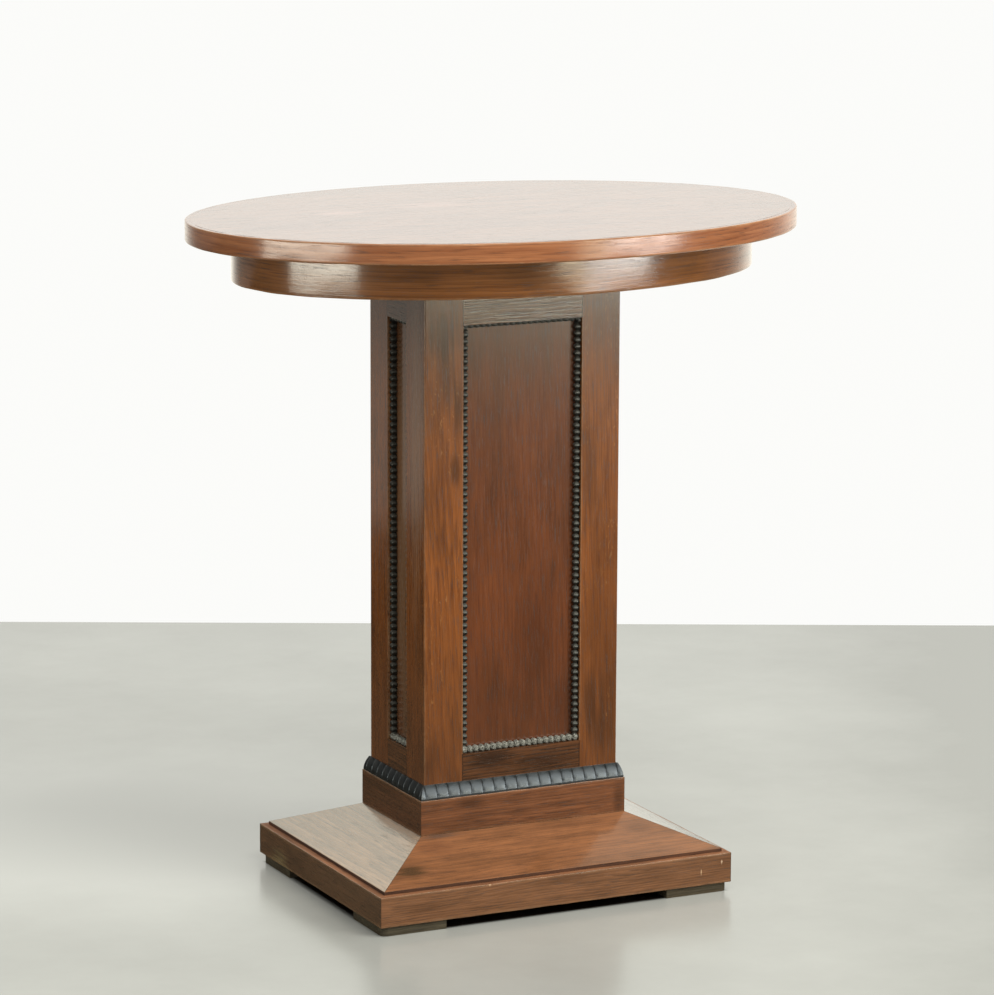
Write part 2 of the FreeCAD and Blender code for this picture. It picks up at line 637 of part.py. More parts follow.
def gadroonShape(span):
    height = size("gadroonHeight")
    topProud = size("gadroonTopProud")
    footProud = size("gadroonFootProud")
    fillet = size("gadroonFillet")
    low = number(gadroonLevel)
    over = size("overrun")
    reach = footProud + size("lobeBulge")
    # The moulding's section, with a convex face from the fillet up to its top edge.
    slant = FreeCAD.Vector(0, footProud - topProud, height - fillet)
    bulge = FreeCAD.Vector(0, -slant.z, slant.y).normalize() * size("lobeBulge")
    foot = FreeCAD.Vector(-reach, -footProud, low + fillet)
    crest = FreeCAD.Vector(-reach, -topProud, low + height)
    middle = (foot + crest) * 0.5 + bulge
    back = FreeCAD.Vector(-reach, 0, low)
    edges = [
        Part.Arc(foot, middle, crest).toShape(),
        Part.makeLine(crest, FreeCAD.Vector(-reach, 0, crest.z)),
        Part.makeLine(FreeCAD.Vector(-reach, 0, crest.z), back),
        Part.makeLine(back, FreeCAD.Vector(-reach, -footProud, low)),
        Part.makeLine(FreeCAD.Vector(-reach, -footProud, low), foot),
    ]
    section = Part.Face(Part.Wire(edges)).extrude(FreeCAD.Vector(span + 2 * reach, 0, 0))
    # A scalloped prism that leans out with the moulding: one arc for each lobe.
    count = max(1, round(span / size("lobePitch")))
    pitch = span / count
    lean = slant * ((height + 2 * over) / (height - fillet))
    start = crest + slant * (over / (height - fillet))
    peak = start.y - size("lobeBulge")
    valley = peak + size("lobeDepth")
    scallops = []
    for index in range(-1, count + 1):
        left = index * pitch
        ends = [FreeCAD.Vector(left, valley, start.z), FreeCAD.Vector(left + pitch, valley, start.z)]
        scallops.append(Part.Arc(ends[0], FreeCAD.Vector(left + pitch / 2, peak, start.z), ends[1]).toShape())
    inside = start.y + lean.y + over
    corners = [
        FreeCAD.Vector(span + pitch, valley, start.z),
        FreeCAD.Vector(span + pitch, inside, start.z),
        FreeCAD.Vector(-pitch, inside, start.z),
        FreeCAD.Vector(-pitch, valley, start.z),
    ]
    sides = [Part.makeLine(first, second) for first, second in zip(corners, corners[1:])]
    lobes = Part.Face(Part.Wire(scallops + sides)).extrude(-lean)
    bar = Part.makeBox(span + 2 * reach, footProud, fillet, FreeCAD.Vector(-reach, -footProud, low))
    moulding = section.common(lobes).fuse(bar).removeSplitter()
    return moulding.cut(mitreWedges(span, reach, low, low + height))


def makeGadroon(side):
    label = side[0] + "_gadroon"
    piece = doc.addObject("Part::Feature", label)
    piece.Shape = gadroonShape(number(side[4]))
    keep(piece, label, side)


# Mitred boards: the plinth, the slope and the rim

def mitredPlan(span, inner, outer):
    # A board between two distances outside the column's face, mitred at both ends.
    return [
        ("-(%s)" % outer, "-(%s)" % outer),
        (span + " + " + outer, "-(%s)" % outer),
        (span + " + " + inner, "-(%s)" % inner),
        ("-(%s)" % inner, "-(%s)" % inner),
    ]


def makePlinthBoard(side):
    label = side[0] + "_plinth_board"
    body = doc.addObject("PartDesign::Body", label)
    plan = mitredPlan(side[4], "0", "Sizes.plinthProud")
    board = addPad(body, label + "_board", plan, plinthLevel, gadroonLevel)
    roundEdges(body, board, label + "_arris", "Sizes.plinthArris",
               levelEdgeAt("-Sizes.plinthProud", gadroonLevel))
    keep(body, label, side)


def makeRimBoard(side):
    label = side[0] + "_rim_board"
    body = doc.addObject("PartDesign::Body", label)
    plan = mitredPlan(side[4], "Sizes.rimReach - Sizes.rimThickness", "Sizes.rimReach")
    board = addPad(body, label + "_board", plan, rimLevel, ledgeLevel)
    upper = levelEdgeAt("-Sizes.rimReach", ledgeLevel)
    lower = levelEdgeAt("-Sizes.rimReach", rimLevel)
    roundEdges(body, board, label + "_arris", "Sizes.rimArris", lambda edge: upper(edge) or lower(edge))
    keep(body, label, side)


slopeReach = "(Sizes.rimReach - Sizes.ledgeWidth)"
rimInside = "(Sizes.rimReach - Sizes.rimThickness)"
slopeRun = "(Sizes.rimReach - Sizes.ledgeWidth - Sizes.plinthProud)"


def makeSlopeBoard(side):
    # The section lies across the board: it rests flat on the rim, carries the plinth board on
    # a level seat, and its underside runs parallel to its sloped face.
    label = side[0] + "_slope_board"
    span = side[4]
    body = doc.addObject("PartDesign::Body", label)
    sketch = newSketch(body, label + "_section", "-" + slopeReach, "YZ_Plane")
    drawOutline(sketch, [
        ("0", plinthLevel),
        ("-Sizes.plinthProud", plinthLevel),
        ("-" + slopeReach, slopeLevel),
        ("-" + slopeReach, ledgeLevel),
        ("-" + rimInside, ledgeLevel),
        ("0", "%s + %s * Sizes.slopeRise / %s" % (ledgeLevel, rimInside, slopeRun)),
    ])
    board = padSketch(body, sketch, "%s + 2 * %s" % (span, slopeReach))
    roundEdges(body, board, label + "_arris", "Sizes.slopeArris",
               levelEdgeAt("-" + slopeReach, slopeLevel))
    far = "-(%s + Sizes.overrun)" % slopeReach
    left = [("Sizes.overrun", "Sizes.overrun"), (far, far), (far, "Sizes.overrun")]
    right = [("%s - (%s)" % (span, across), along) for across, along in left]
    addPocket(body, label + "_mitres", [left, right], [], ledgeLevel + " - Sizes.overrun",
              plinthLevel + " + Sizes.overrun")
    keep(body, label, side)


# The board inside the rim, its corner blocks and the feet

boardLevel = ledgeLevel + " - Sizes.baseBoardThickness"
footScrewPlaces = [
    tuple("-%s + Sizes.cornerBlockSize * %s" % (rimInside, share) for share in shares)
    for shares in FOOT_SCREW_SHARES
]


def makeBaseBoard():
    body = doc.addObject("PartDesign::Body", "base_board")
    halfLength = "Sizes.columnWidth / 2 + " + rimInside
    halfWidth = "Sizes.columnDepth / 2 + " + rimInside
    plan = rectangle("-(%s)" % halfLength, "-(%s)" % halfWidth, halfLength, halfWidth)
    addPad(body, "base_board_plan", plan, boardLevel, ledgeLevel)
    across = "(Sizes.columnWidth - Sizes.postSize) / 2"
    along = "(Sizes.columnDepth - Sizes.postSize) / 2"
    centres = [(east + across, north + along) for east in ("-", "") for north in ("-", "")]
    bottom = boardLevel + " - Sizes.overrun"
    addPocket(body, "base_board_holes", [], [(centre, "Sizes.screwRadius") for centre in centres],
              bottom, ledgeLevel + " + Sizes.overrun")
    addPocket(body, "base_board_recesses", [], [(centre, "Sizes.recessRadius") for centre in centres],
              bottom, boardLevel + " + Sizes.postScrewRecess")
    keep(body, "base_board")


def makeCornerBlocks():
    # One block with its two pilot holes, copied into the four corners of the rim.
    low = number(rimLevel)
    height = number(boardLevel) - low
    corner = -number(rimInside)
    square = size("cornerBlockSize")
    depth = height - size("footScrewShortfall") + size("overrun")
    block = Part.makeBox(square, square, height, FreeCAD.Vector(corner, corner, low))
    for across, along in footScrewPlaces:
        foot = FreeCAD.Vector(number(across), number(along), low - size("overrun"))
        block = block.cut(Part.makeCylinder(size("screwRadius"), depth, foot))
    blocks = []
    for side in SIDES:
        copy = block.copy()
        copy.Placement = sidePlacement(side)
        blocks.append(copy)
    group = doc.addObject("Part::Feature", "base_corner_blocks")
    group.Shape = Part.makeCompound(blocks)
    keep(group, "base_corner_blocks")


def makeFoot(side):
    label = side[5] + "_foot"
    body = doc.addObject("PartDesign::Body", label)
    outer = "-(Sizes.rimReach - Sizes.footInset)"
    inner = outer + " + Sizes.footSize"
    pad = addPad(body, label + "_pad", rectangle(outer, outer, inner, inner), "0", rimLevel)

    def outerCorner(edge):
        box = edge.BoundBox
        return near(box.XMax, number(outer)) and near(box.YMax, number(outer))

    roundEdges(body, pad, label + "_corner", "Sizes.footCorner", outerCorner)
    addPocket(body, label + "_holes", [], [(place, "Sizes.screwRadius") for place in footScrewPlaces],
              "-Sizes.overrun", rimLevel + " + Sizes.overrun")
    addPocket(body, label + "_recesses", [], [(place, "Sizes.recessRadius") for place in footScrewPlaces],
              "-Sizes.overrun", "Sizes.footScrewRecess")
    keep(body, label, side)


# The whole table

makeTopBoard()
makeTopEdgeBand()
makeApronHoop()
hoopInside = makeHoopInside()
makeBearer("left_bearer", "-", hoopInside)
makeBearer("right_bearer", "", hoopInside)
makeGlueBlocks(hoopInside)
makeScrews("bearer_screws", [(number(across), number(along)) for across, along in bearerScrewPlaces],
           columnTopLevel + " + Sizes.bearerScrewRecess", undersideLevel + " + Sizes.bearerScrewBite")
uprightBeads = beadStrip(size("openingHeight"))
for side in SIDES:
    makePost(side)
    makeRails(side)
    makePanel(side)
    makeBeads(side, uprightBeads, beadStrip(number(side[4] + " - 2 * Sizes.postSize")))
    makeGadroon(side)
    makePlinthBoard(side)
    makeSlopeBoard(side)
    makeRimBoard(side)
    makeFoot(side)
makeBaseBoard()
makeCornerBlocks()
makeScrews("post_screws", onEverySide([postMiddle]),
           boardLevel + " + Sizes.postScrewRecess", ledgeLevel + " + Sizes.postScrewBite")
makeScrews("foot_screws", onEverySide(footScrewPlaces),
           "Sizes.footScrewRecess", boardLevel + " - Sizes.footScrewShortfall")
doc.recompute()

# Every object has to be sound, and every pocket has to take something away

for item in doc.Objects:
    if "Invalid" in item.State or "Error" in item.State:
        raise RuntimeError("%s did not build: %s" % (item.Label, item.State))
    if item.TypeId == "PartDesign::Pocket" and item.Shape.Volume >= item.BaseFeature.Shape.Volume:
        raise RuntimeError(item.Label + " cuts nothing")
for part in parts:
    if part.Shape.isNull() or not part.Shape.isValid():
        raise RuntimeError(part.Label + " has no valid shape")

os.makedirs("parts", exist_ok=True)
for part in parts:
    part.Shape.exportStep("parts/%s.step" % part.Label)
print("%d sub-parts written" % len(parts))
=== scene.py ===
from functools import partial
import json
import math

import bpy
import numpy as np
from mathutils import Matrix, Vector
from numpy.linalg import norm

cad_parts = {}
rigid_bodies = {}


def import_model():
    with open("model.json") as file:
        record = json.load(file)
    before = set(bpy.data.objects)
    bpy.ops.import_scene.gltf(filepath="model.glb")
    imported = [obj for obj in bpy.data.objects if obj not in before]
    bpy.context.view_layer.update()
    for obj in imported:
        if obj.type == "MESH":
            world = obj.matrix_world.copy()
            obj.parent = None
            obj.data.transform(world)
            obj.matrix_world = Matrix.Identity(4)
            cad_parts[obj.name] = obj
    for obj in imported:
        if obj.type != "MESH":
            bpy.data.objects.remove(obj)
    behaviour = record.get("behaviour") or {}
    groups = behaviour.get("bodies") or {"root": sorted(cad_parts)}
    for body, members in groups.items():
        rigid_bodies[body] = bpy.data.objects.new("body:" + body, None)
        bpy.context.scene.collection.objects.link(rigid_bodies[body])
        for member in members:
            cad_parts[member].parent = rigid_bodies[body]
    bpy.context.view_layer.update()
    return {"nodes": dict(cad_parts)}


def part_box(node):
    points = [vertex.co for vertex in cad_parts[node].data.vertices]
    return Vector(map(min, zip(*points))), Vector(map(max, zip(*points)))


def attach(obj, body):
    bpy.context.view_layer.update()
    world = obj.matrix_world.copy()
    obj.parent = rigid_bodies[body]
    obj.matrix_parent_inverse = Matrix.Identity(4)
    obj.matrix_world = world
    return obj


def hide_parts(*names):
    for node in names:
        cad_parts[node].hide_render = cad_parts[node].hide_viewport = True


# An oval side table in stained and polished oak with ebonised bead and lobe mouldings.
# Blender units are metres, the row frame has the front of the table at -Y.

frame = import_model()
nodes = frame["nodes"]
scene = bpy.context.scene
mm = 0.001
print("frame loaded:", len(nodes), "nodes")


# Places read from the frame, in metres

def boxOf(name):
    return [np.array(corner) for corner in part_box(name)]


postLow, postHigh = boxOf("front_left_post")
beadLow, beadHigh = boxOf("front_bead_left")
columnHalfWidth = -postLow[0]
columnHalfDepth = -postLow[1]
postSquare = postHigh[0] - postLow[0]
panelFace = -boxOf("front_panel")[0][1]
openingLow, openingHigh = beadLow[2], beadHigh[2]

# Each side: its turn about Z, half its length and the distance from the middle to its face
sides = {
    "front": (0, columnHalfWidth, columnHalfDepth),
    "right": (90, columnHalfDepth, columnHalfWidth),
    "back": (180, columnHalfWidth, columnHalfDepth),
    "left": (270, columnHalfDepth, columnHalfWidth),
}


# Meshes

def newObject(name, data):
    # A mesh, lamp or camera as an object of the scene.
    made = bpy.data.objects.new(name, data)
    scene.collection.objects.link(made)
    return made


def turned(points, degrees):
    # Points turned about the Z axis.
    c, s = math.cos(math.radians(degrees)), math.sin(math.radians(degrees))
    x, y = points[..., 0], points[..., 1]
    return np.stack([c * x - s * y, s * x + c * y, points[..., 2]], axis=-1)


waveValues = {
    "count": 5,
    "range": (0.6, 3.2),  # waves in the given length, from the slowest to the fastest
    "size": 2.6,  # of their sum, which then lies between about -1 and 1
}


def unevenness(along, seed, length):
    # A slow, repeatable up and down between 0 and 1: a sum of sine waves, moved and clipped.
    v = waveValues
    rng = np.random.default_rng(seed)
    waves = rng.uniform(*v["range"], v["count"])[:, None] * 2 * np.pi / length
    phases = rng.uniform(0, 2 * np.pi, v["count"])[:, None]
    total = np.sin(waves * np.ravel(along) + phases).sum(axis=0) / v["size"]
    return np.clip(0.5 + 0.5 * total, 0, 1).reshape(np.shape(along))


def cellCorners(grid):
    # The four corners of every cell of a grid, in order round the cell.
    return np.stack([grid[:-1, :-1], grid[1:, :-1], grid[1:, 1:], grid[:-1, 1:]], axis=2)


def surfaceMesh(name, grid, marks=None, uv=None, ring=False, sharpAngle=38):
    # Quads over a grid of points: rows run along the piece and close if it is a ring,
    # columns run round its section and always close. Open ends get a flat cap. The faces
    # are turned outwards by the sign of the enclosed volume.
    rows, columns = grid.shape[:2]
    index = np.arange(rows * columns).reshape(rows, columns)
    if ring:
        index = np.vstack([index, index[:1]])
    index = np.hstack([index, index[:, :1]])
    quads = cellCorners(index).reshape(-1, 4)
    flat = grid.reshape(-1, 3)
    a, b, c, d = (flat[quads[:, k]] for k in range(4))
    inward = (a * (np.cross(b, c) + np.cross(c, d))).sum() < 0
    faces = (quads[:, ::-1] if inward else quads).tolist()
    if not ring:
        caps = [np.arange(columns), np.arange(columns)[::-1] + (rows - 1) * columns]
        faces += [(cap[::-1] if inward else cap).tolist() for cap in caps]
    mesh = bpy.data.meshes.new(name)
    mesh.from_pydata(flat.tolist(), [], faces)
    mesh.update()
    if uv is not None:
        corners = cellCorners(np.stack(uv, axis=-1)).reshape(-1, 4, 2)
        corners = corners[:, ::-1] if inward else corners
        layer = mesh.uv_layers.new(name="grain")
        layer.data.foreach_set("uv", corners.astype(np.float32).ravel())
    for label, values in (marks or {}).items():
        layer = mesh.attributes.new(label, "FLOAT", "POINT")
        layer.data.foreach_set("value", np.broadcast_to(values, (rows, columns)).astype(np.float32).ravel())
    mesh.polygons.foreach_set("use_smooth", np.ones(len(mesh.polygons), bool))
    mesh.set_sharp_from_angle(angle=math.radians(sharpAngle))
    mesh.validate()
    return newObject(name, mesh)


def joined(name, parts):
    # Several meshes of one piece joined into the first.
    if len(parts) > 1:
        bpy.ops.object.select_all(action="DESELECT")
        for part in parts:
            part.select_set(True)
        bpy.context.view_layer.objects.active = parts[0]
        bpy.ops.object.join()
    parts[0].name = name
    parts[0].data.name = name
    return parts[0]


def roundedLoop(corners, radii, steps=5, guard=2.5 * mm, roomShare=0.9):
    # A closed section: each corner is an arc tangent to both its edges, and guard points
    # stand beside each arc, within a share of half the shorter edge. Also gives how much
    # each point belongs to an arris, 0 or 1.
    corners = np.array(corners, float)
    points, arris = [], []
    for k, radius in enumerate(radii):
        here, before, after = corners[k], corners[k - 1], corners[(k + 1) % len(corners)]
        lengths = norm(before - here), norm(after - here)
        into, out = (before - here) / lengths[0], (after - here) / lengths[1]
        half = math.acos(np.clip(into @ out, -1, 1)) / 2
        reach = radius / math.tan(half)
        share = np.linspace(0, 1, steps)[:, None]
        # The arc as a blend of its two tangents, pushed onto the circle
        centre = here + (into + out) / norm(into + out) * radius / math.sin(half)
        chord = (here + into * reach) * (1 - share) + (here + out * reach) * share - centre
        arc = centre + chord / norm(chord, axis=1)[:, None] * radius
        side = min(reach + guard, max(min(lengths) / 2 * roomShare, reach * 1.01))
        points += [here + into * side, *arc, here + out * side]
        arris += [0, *np.ones(steps), 0]
    return np.array(points), np.array(arris)


def lengthRound(points):
    # How far along a closed line each point lies, with the closing length at the end.
    steps = norm(np.diff(np.vstack([points, points[:1]]), axis=0), axis=1)
    return np.append(0, np.cumsum(steps))


def wornSection(section, arris, wear):
    # The section at each place along a piece, with its arrises worn back towards its middle.
    away = section.mean(axis=0) - section
    back = away / norm(away, axis=1)[:, None]
    worn = arris[None, :] * wear
    return section[None, :, 0] + worn * back[None, :, 0], section[None, :, 1] + worn * back[None, :, 1]


def ovalRing(name, v):
    # A section carried round the oval: a point that lies inset from the outer face is on the
    # ellipse whose half axes are shorter by the inset. The arrises are worn back unevenly.
    section, arris = roundedLoop(v["section"], v["rounding"])
    angle = np.linspace(0, 2 * np.pi, v["steps"], endpoint=False)[:, None]
    wear = v["wear"] * unevenness(angle, v["seed"], v["wearAngle"])
    inset, height = wornSection(section, arris, wear)
    grid = np.stack([(v["halfLength"] - inset) * np.cos(angle),
                     (v["halfWidth"] - inset) * np.sin(angle), height], axis=-1)
    uv = np.meshgrid(lengthRound(grid[:, 0]), lengthRound(section), indexing="ij")
    return surfaceMesh(name, grid, {"arris": arris[None, :]}, uv, ring=True)


mitreValues = {
    "ends": (0, 0.0025, 0.006, 0.012),  # sections close to a mitre, as shares of the length
    "inner": 0.03,  # share at which the even sections begin
    "wearLength": 0.12,
    "ease": 0.25,  # power by which the wear fades towards the mitres
    "joint": 0.002,  # share that the joint's dark line takes
}


def mitredBoard(name, side, values):
    # A section carried along one side of the base. A point that reaches out by r starts and
    # ends at the 45 degree mitres, half the side plus r from the middle. The arrises are
    # worn back unevenly.
    turn, halfSpan, face = sides[side]
    v = mitreValues
    section, arris = roundedLoop(values["section"], values["rounding"])
    ends = np.array(v["ends"])
    inner = np.linspace(v["inner"], 1 - v["inner"], values["steps"])
    share = np.hstack([ends, inner, 1 - ends[::-1]])[:, None]
    along = (share - 0.5) * 2
    travel = along * (halfSpan + section[None, :, 0])
    ease = np.sin(np.pi * share) ** v["ease"]
    wear = values["wear"] * unevenness(travel, values["seed"] + turn, v["wearLength"]) * ease
    reach, height = wornSection(section, arris, wear)
    grid = np.stack([along * (halfSpan + reach), -(face + reach), height], axis=-1)
    joint = np.minimum(share, 1 - share) < v["joint"]
    return surfaceMesh(name, turned(grid, turn), {"arris": arris[None, :], "joint": joint})


def beadStrip(side, v, origin, along, away, length, height=1):
    # A string of beads against a square fillet in the angle of frame and panel. The section
    # at each place goes from the panel round the bead to the frame, as an arc of the bead's
    # local radius, then back round the fillet. Both ends are cut to the mitre. Height is a
    # share, below 1 where the frame covers part of the strip.
    offset, flatten = v["offset"], v["squareness"]
    count = max(1, round(length / v["pitch"]))
    pitch = length / count
    inBead = np.array(v["shares"])
    places = np.append(((np.arange(count)[:, None] + inBead) * pitch).ravel(), length)
    # Local radius: a round bead over its pitch, no smaller than the neck
    fromMiddle = np.abs(np.append(np.tile(inBead, count), 1.0) - 0.5) * pitch
    local = np.sqrt(np.maximum(v["radius"] ** 2 - (fromMiddle * v["tightness"]) ** 2, 0))
    local = np.maximum(local, v["neck"])[:, None]
    angles = np.radians(v["around"])[None, :]
    cosA, sinA = np.cos(angles), np.sin(angles)
    spread = (np.abs(cosA) ** flatten + np.abs(sinA) ** flatten) ** (-1 / flatten)
    u = np.maximum(offset + local * spread * cosA, 0) * height
    out = np.maximum(offset + local * spread * sinA, 0)
    u = np.hstack([u, np.repeat([[0, 0, offset * height]], len(places), axis=0)])
    out = np.hstack([out, np.repeat([[offset, 0, 0]], len(places), axis=0)])
    s = np.clip(places[:, None], u, length - u)
    front = np.array([0, -1.0, 0])
    grid = np.array(origin) + s[..., None] * along + u[..., None] * away + out[..., None] * front
    return surfaceMesh("strip", turned(grid, sides[side][0]), sharpAngle=50)


def lobedMoulding(name, side, v):
    # The section leans out from its top to its foot with a slight bulge, over a plain fillet.
    # Along the side it is scalloped: each lobe is nearly flat and falls off steeply into the
    # valleys, and near the top its corners go in further, which rounds it.
    turn, halfSpan, face = sides[side]
    foot, top, fillet = v["foot"], v["top"], v["fillet"]
    low, high = v["low"], v["high"]
    count = max(1, round(2 * halfSpan / v["pitch"]))
    pitch = 2 * halfSpan / count
    inLobe = np.array(v["shares"])
    lobes = np.arange(-1, count + 1)[:, None]
    s = (-halfSpan + (lobes + inLobe[None, :]) * pitch).ravel()[:, None]
    across = np.tile(np.abs(2 * inLobe - 1), len(lobes))[:, None]
    rise = np.linspace(0, 1, v["rise"])[None, :]
    z = low + fillet + rise * (high - low - fillet)
    lean = foot + (top - foot) * rise + v["bulge"] * 4 * rise * (1 - rise)
    crown = np.clip((rise - v["crownShare"]) / (1 - v["crownShare"]), 0, 1) ** 2 * across ** 2
    start = np.clip(rise / v["start"], 0, 1)
    reach = lean - v["depth"] * (across ** v["flatness"] + v["crown"] * crown) * start
    reach = np.maximum(reach, top * v["least"])
    one = np.ones_like(s)
    loopReach = np.hstack([0 * one, foot * one, foot * one, reach, 0 * one])
    loopZ = np.hstack([low * one, low * one, (low + fillet) * one, z * one, high * one])
    mitre = halfSpan + loopReach
    grid = np.stack([np.clip(s, -mitre, mitre), -(face + loopReach), loopZ], axis=-1)
    return surfaceMesh(name, turned(grid, turn), sharpAngle=40)


# Materials

def toLinear(code):
    # An sRGB hex colour as linear red, green, blue, with full alpha.
    parts = [int(code[k:k + 2], 16) / 255 for k in (1, 3, 5)]
    return [(p / 12.92 if p <= 0.04045 else ((p + 0.055) / 1.055) ** 2.4) for p in parts] + [1]


# What a node's choice sets
nodeChoices = {"Math": "operation", "VectorMath": "operation", "MapRange": "interpolation_type",
               "Mix": "data_type"}


def addNode(tree, kind, inputs=(), choice=None, **settings):
    # Adds a node, sets it up, and fills its sockets, in order or by their keys, with values
    # or with links from nodes.
    node = tree.nodes.new("ShaderNode" + kind)
    if choice:
        settings[nodeChoices[kind]] = choice
    for key, value in settings.items():
        setattr(node, key, value)
    for key, value in (inputs.items() if isinstance(inputs, dict) else enumerate(inputs)):
        if isinstance(value, bpy.types.Node):
            value = value.outputs[0]
        if isinstance(value, bpy.types.NodeSocket):
            tree.links.new(value, node.inputs[key])
        else:
            node.inputs[key].default_value = value
    return node


def newMaterial(name, scale=1 / mm):
    # An empty material, addNode for its tree, and the place on the object: in mm, or in
    # metres with a scale of 1.
    material = bpy.data.materials.new(name)
    material.use_nodes = True
    material.node_tree.nodes.clear()
    add = partial(addNode, material.node_tree)
    place = add("VectorMath", {0: add("TexCoord").outputs["Object"], "Scale": scale}, "SCALE")
    return material, add, place


def laidOver(add, under, mask, code, depth=1.0):
    # A colour laid over what is under it, as far as the mask and the depth let it.
    amount = add("Math", [mask, depth], "MULTIPLY")
    return add("Mix", {0: amount, 6: under, 7: toLinear(code)}, "RGBA").outputs[2]


noiseRange = (0.3, 0.7)  # where nearly all values of a noise lie

# Oak under stain and shellac, hand-rubbed: the stain sits dark in the open pores of each
# year's early wood, the polish gives a clear, slightly soft reflection over the grain.
oakValues = {
    "early": "#5a3014",
    "late": "#8f5528",
    "deep": "#37200f",
    "pore": "#1e120b",
    "fleck": "#b07a45",
    "worn": "#b08a66",
    "ring": 2.9,  # mm from one year ring to the next
    "pith": (95, 40),  # mm from the origin to the heart of the tree, across the grain
    "tilt": (1.2, 1.8),  # degrees between board and tree
    "ringDepth": 0.5,
    "fibreDepth": 1.1,
    "streakDepth": 0.9,
    "poreDepth": 0.7,
    "fleckDepth": 0.0,
    "blotchDepth": 0.35,
    "wear": 0.5,
    "roughness": 0.18,
    "ior": 1.5,
    "coat": 0.9,
    "coatRoughness": 0.10,
    "coatIor": 1.5,
    "bump": 0.12,
    "coatBump": 0.06,
    "seed": 0,
}
# Noises stretched along the grain: size across and along it in mm, detail and roughness
woodNoises = {
    "drift": (60, 420, 2.0, 0.45),
    "fibre": (0.8, 90, 4.0, 0.65),
    "streak": (4.0, 300, 3.0, 0.55),
    "pore": (0.6, 24, 2.0, 0.6),  # a fifth of a millimetre in oak, drawn wider to show
    "blotch": (38, 130, 3.0, 0.6),
    "fleck": (2.6, 9, 2.0, 0.5),
    "fleckArea": (30, 80, 1.0, 0.5),
}
# Levels of a noise between which its mask goes from 0 to 1
woodMasks = {
    "pore": (0.53, 0.66),
    "blotch": (0.42, 0.68),
    "fleck": (0.60, 0.70),
    "fleckArea": (0.48, 0.62),
}
grainValues = {
    "wander": 26,  # mm that the year rings drift from true circles
    "seedMove": (37.0, 53.0, 211.0),  # mm from one board's place in the tree to the next
    "yearStops": ((0.14, 1.0), (0.36, 0.6), (0.72, 0.12)),  # early wood through the year
    "meanEarly": 0.35,
    "streakBend": 2.6,  # years that streaks and fibres shift the rings
    "fibreBend": 0.35,
    "latePores": 0.3,  # share of the pores left in the late wood
    "fleckBend": 1.2,
    "spotEdge": (1.8, 0.9),  # how far streaks and fibres break up a spot's edge
    "spotRange": (1.0, 0.2),
    "scuff": {"Scale": 0.05, "Detail": 5.0, "Roughness": 0.75},
    "scuffRange": (0.38, 0.66, 0.25, 1.0),
    "jointDepth": 0.75,
    "relief": (-0.4, -1.0, 0.5),  # of early wood, pores and fibres
    "reliefDepth": 0.2 * mm,
    "poreRoughness": 0.3,
}


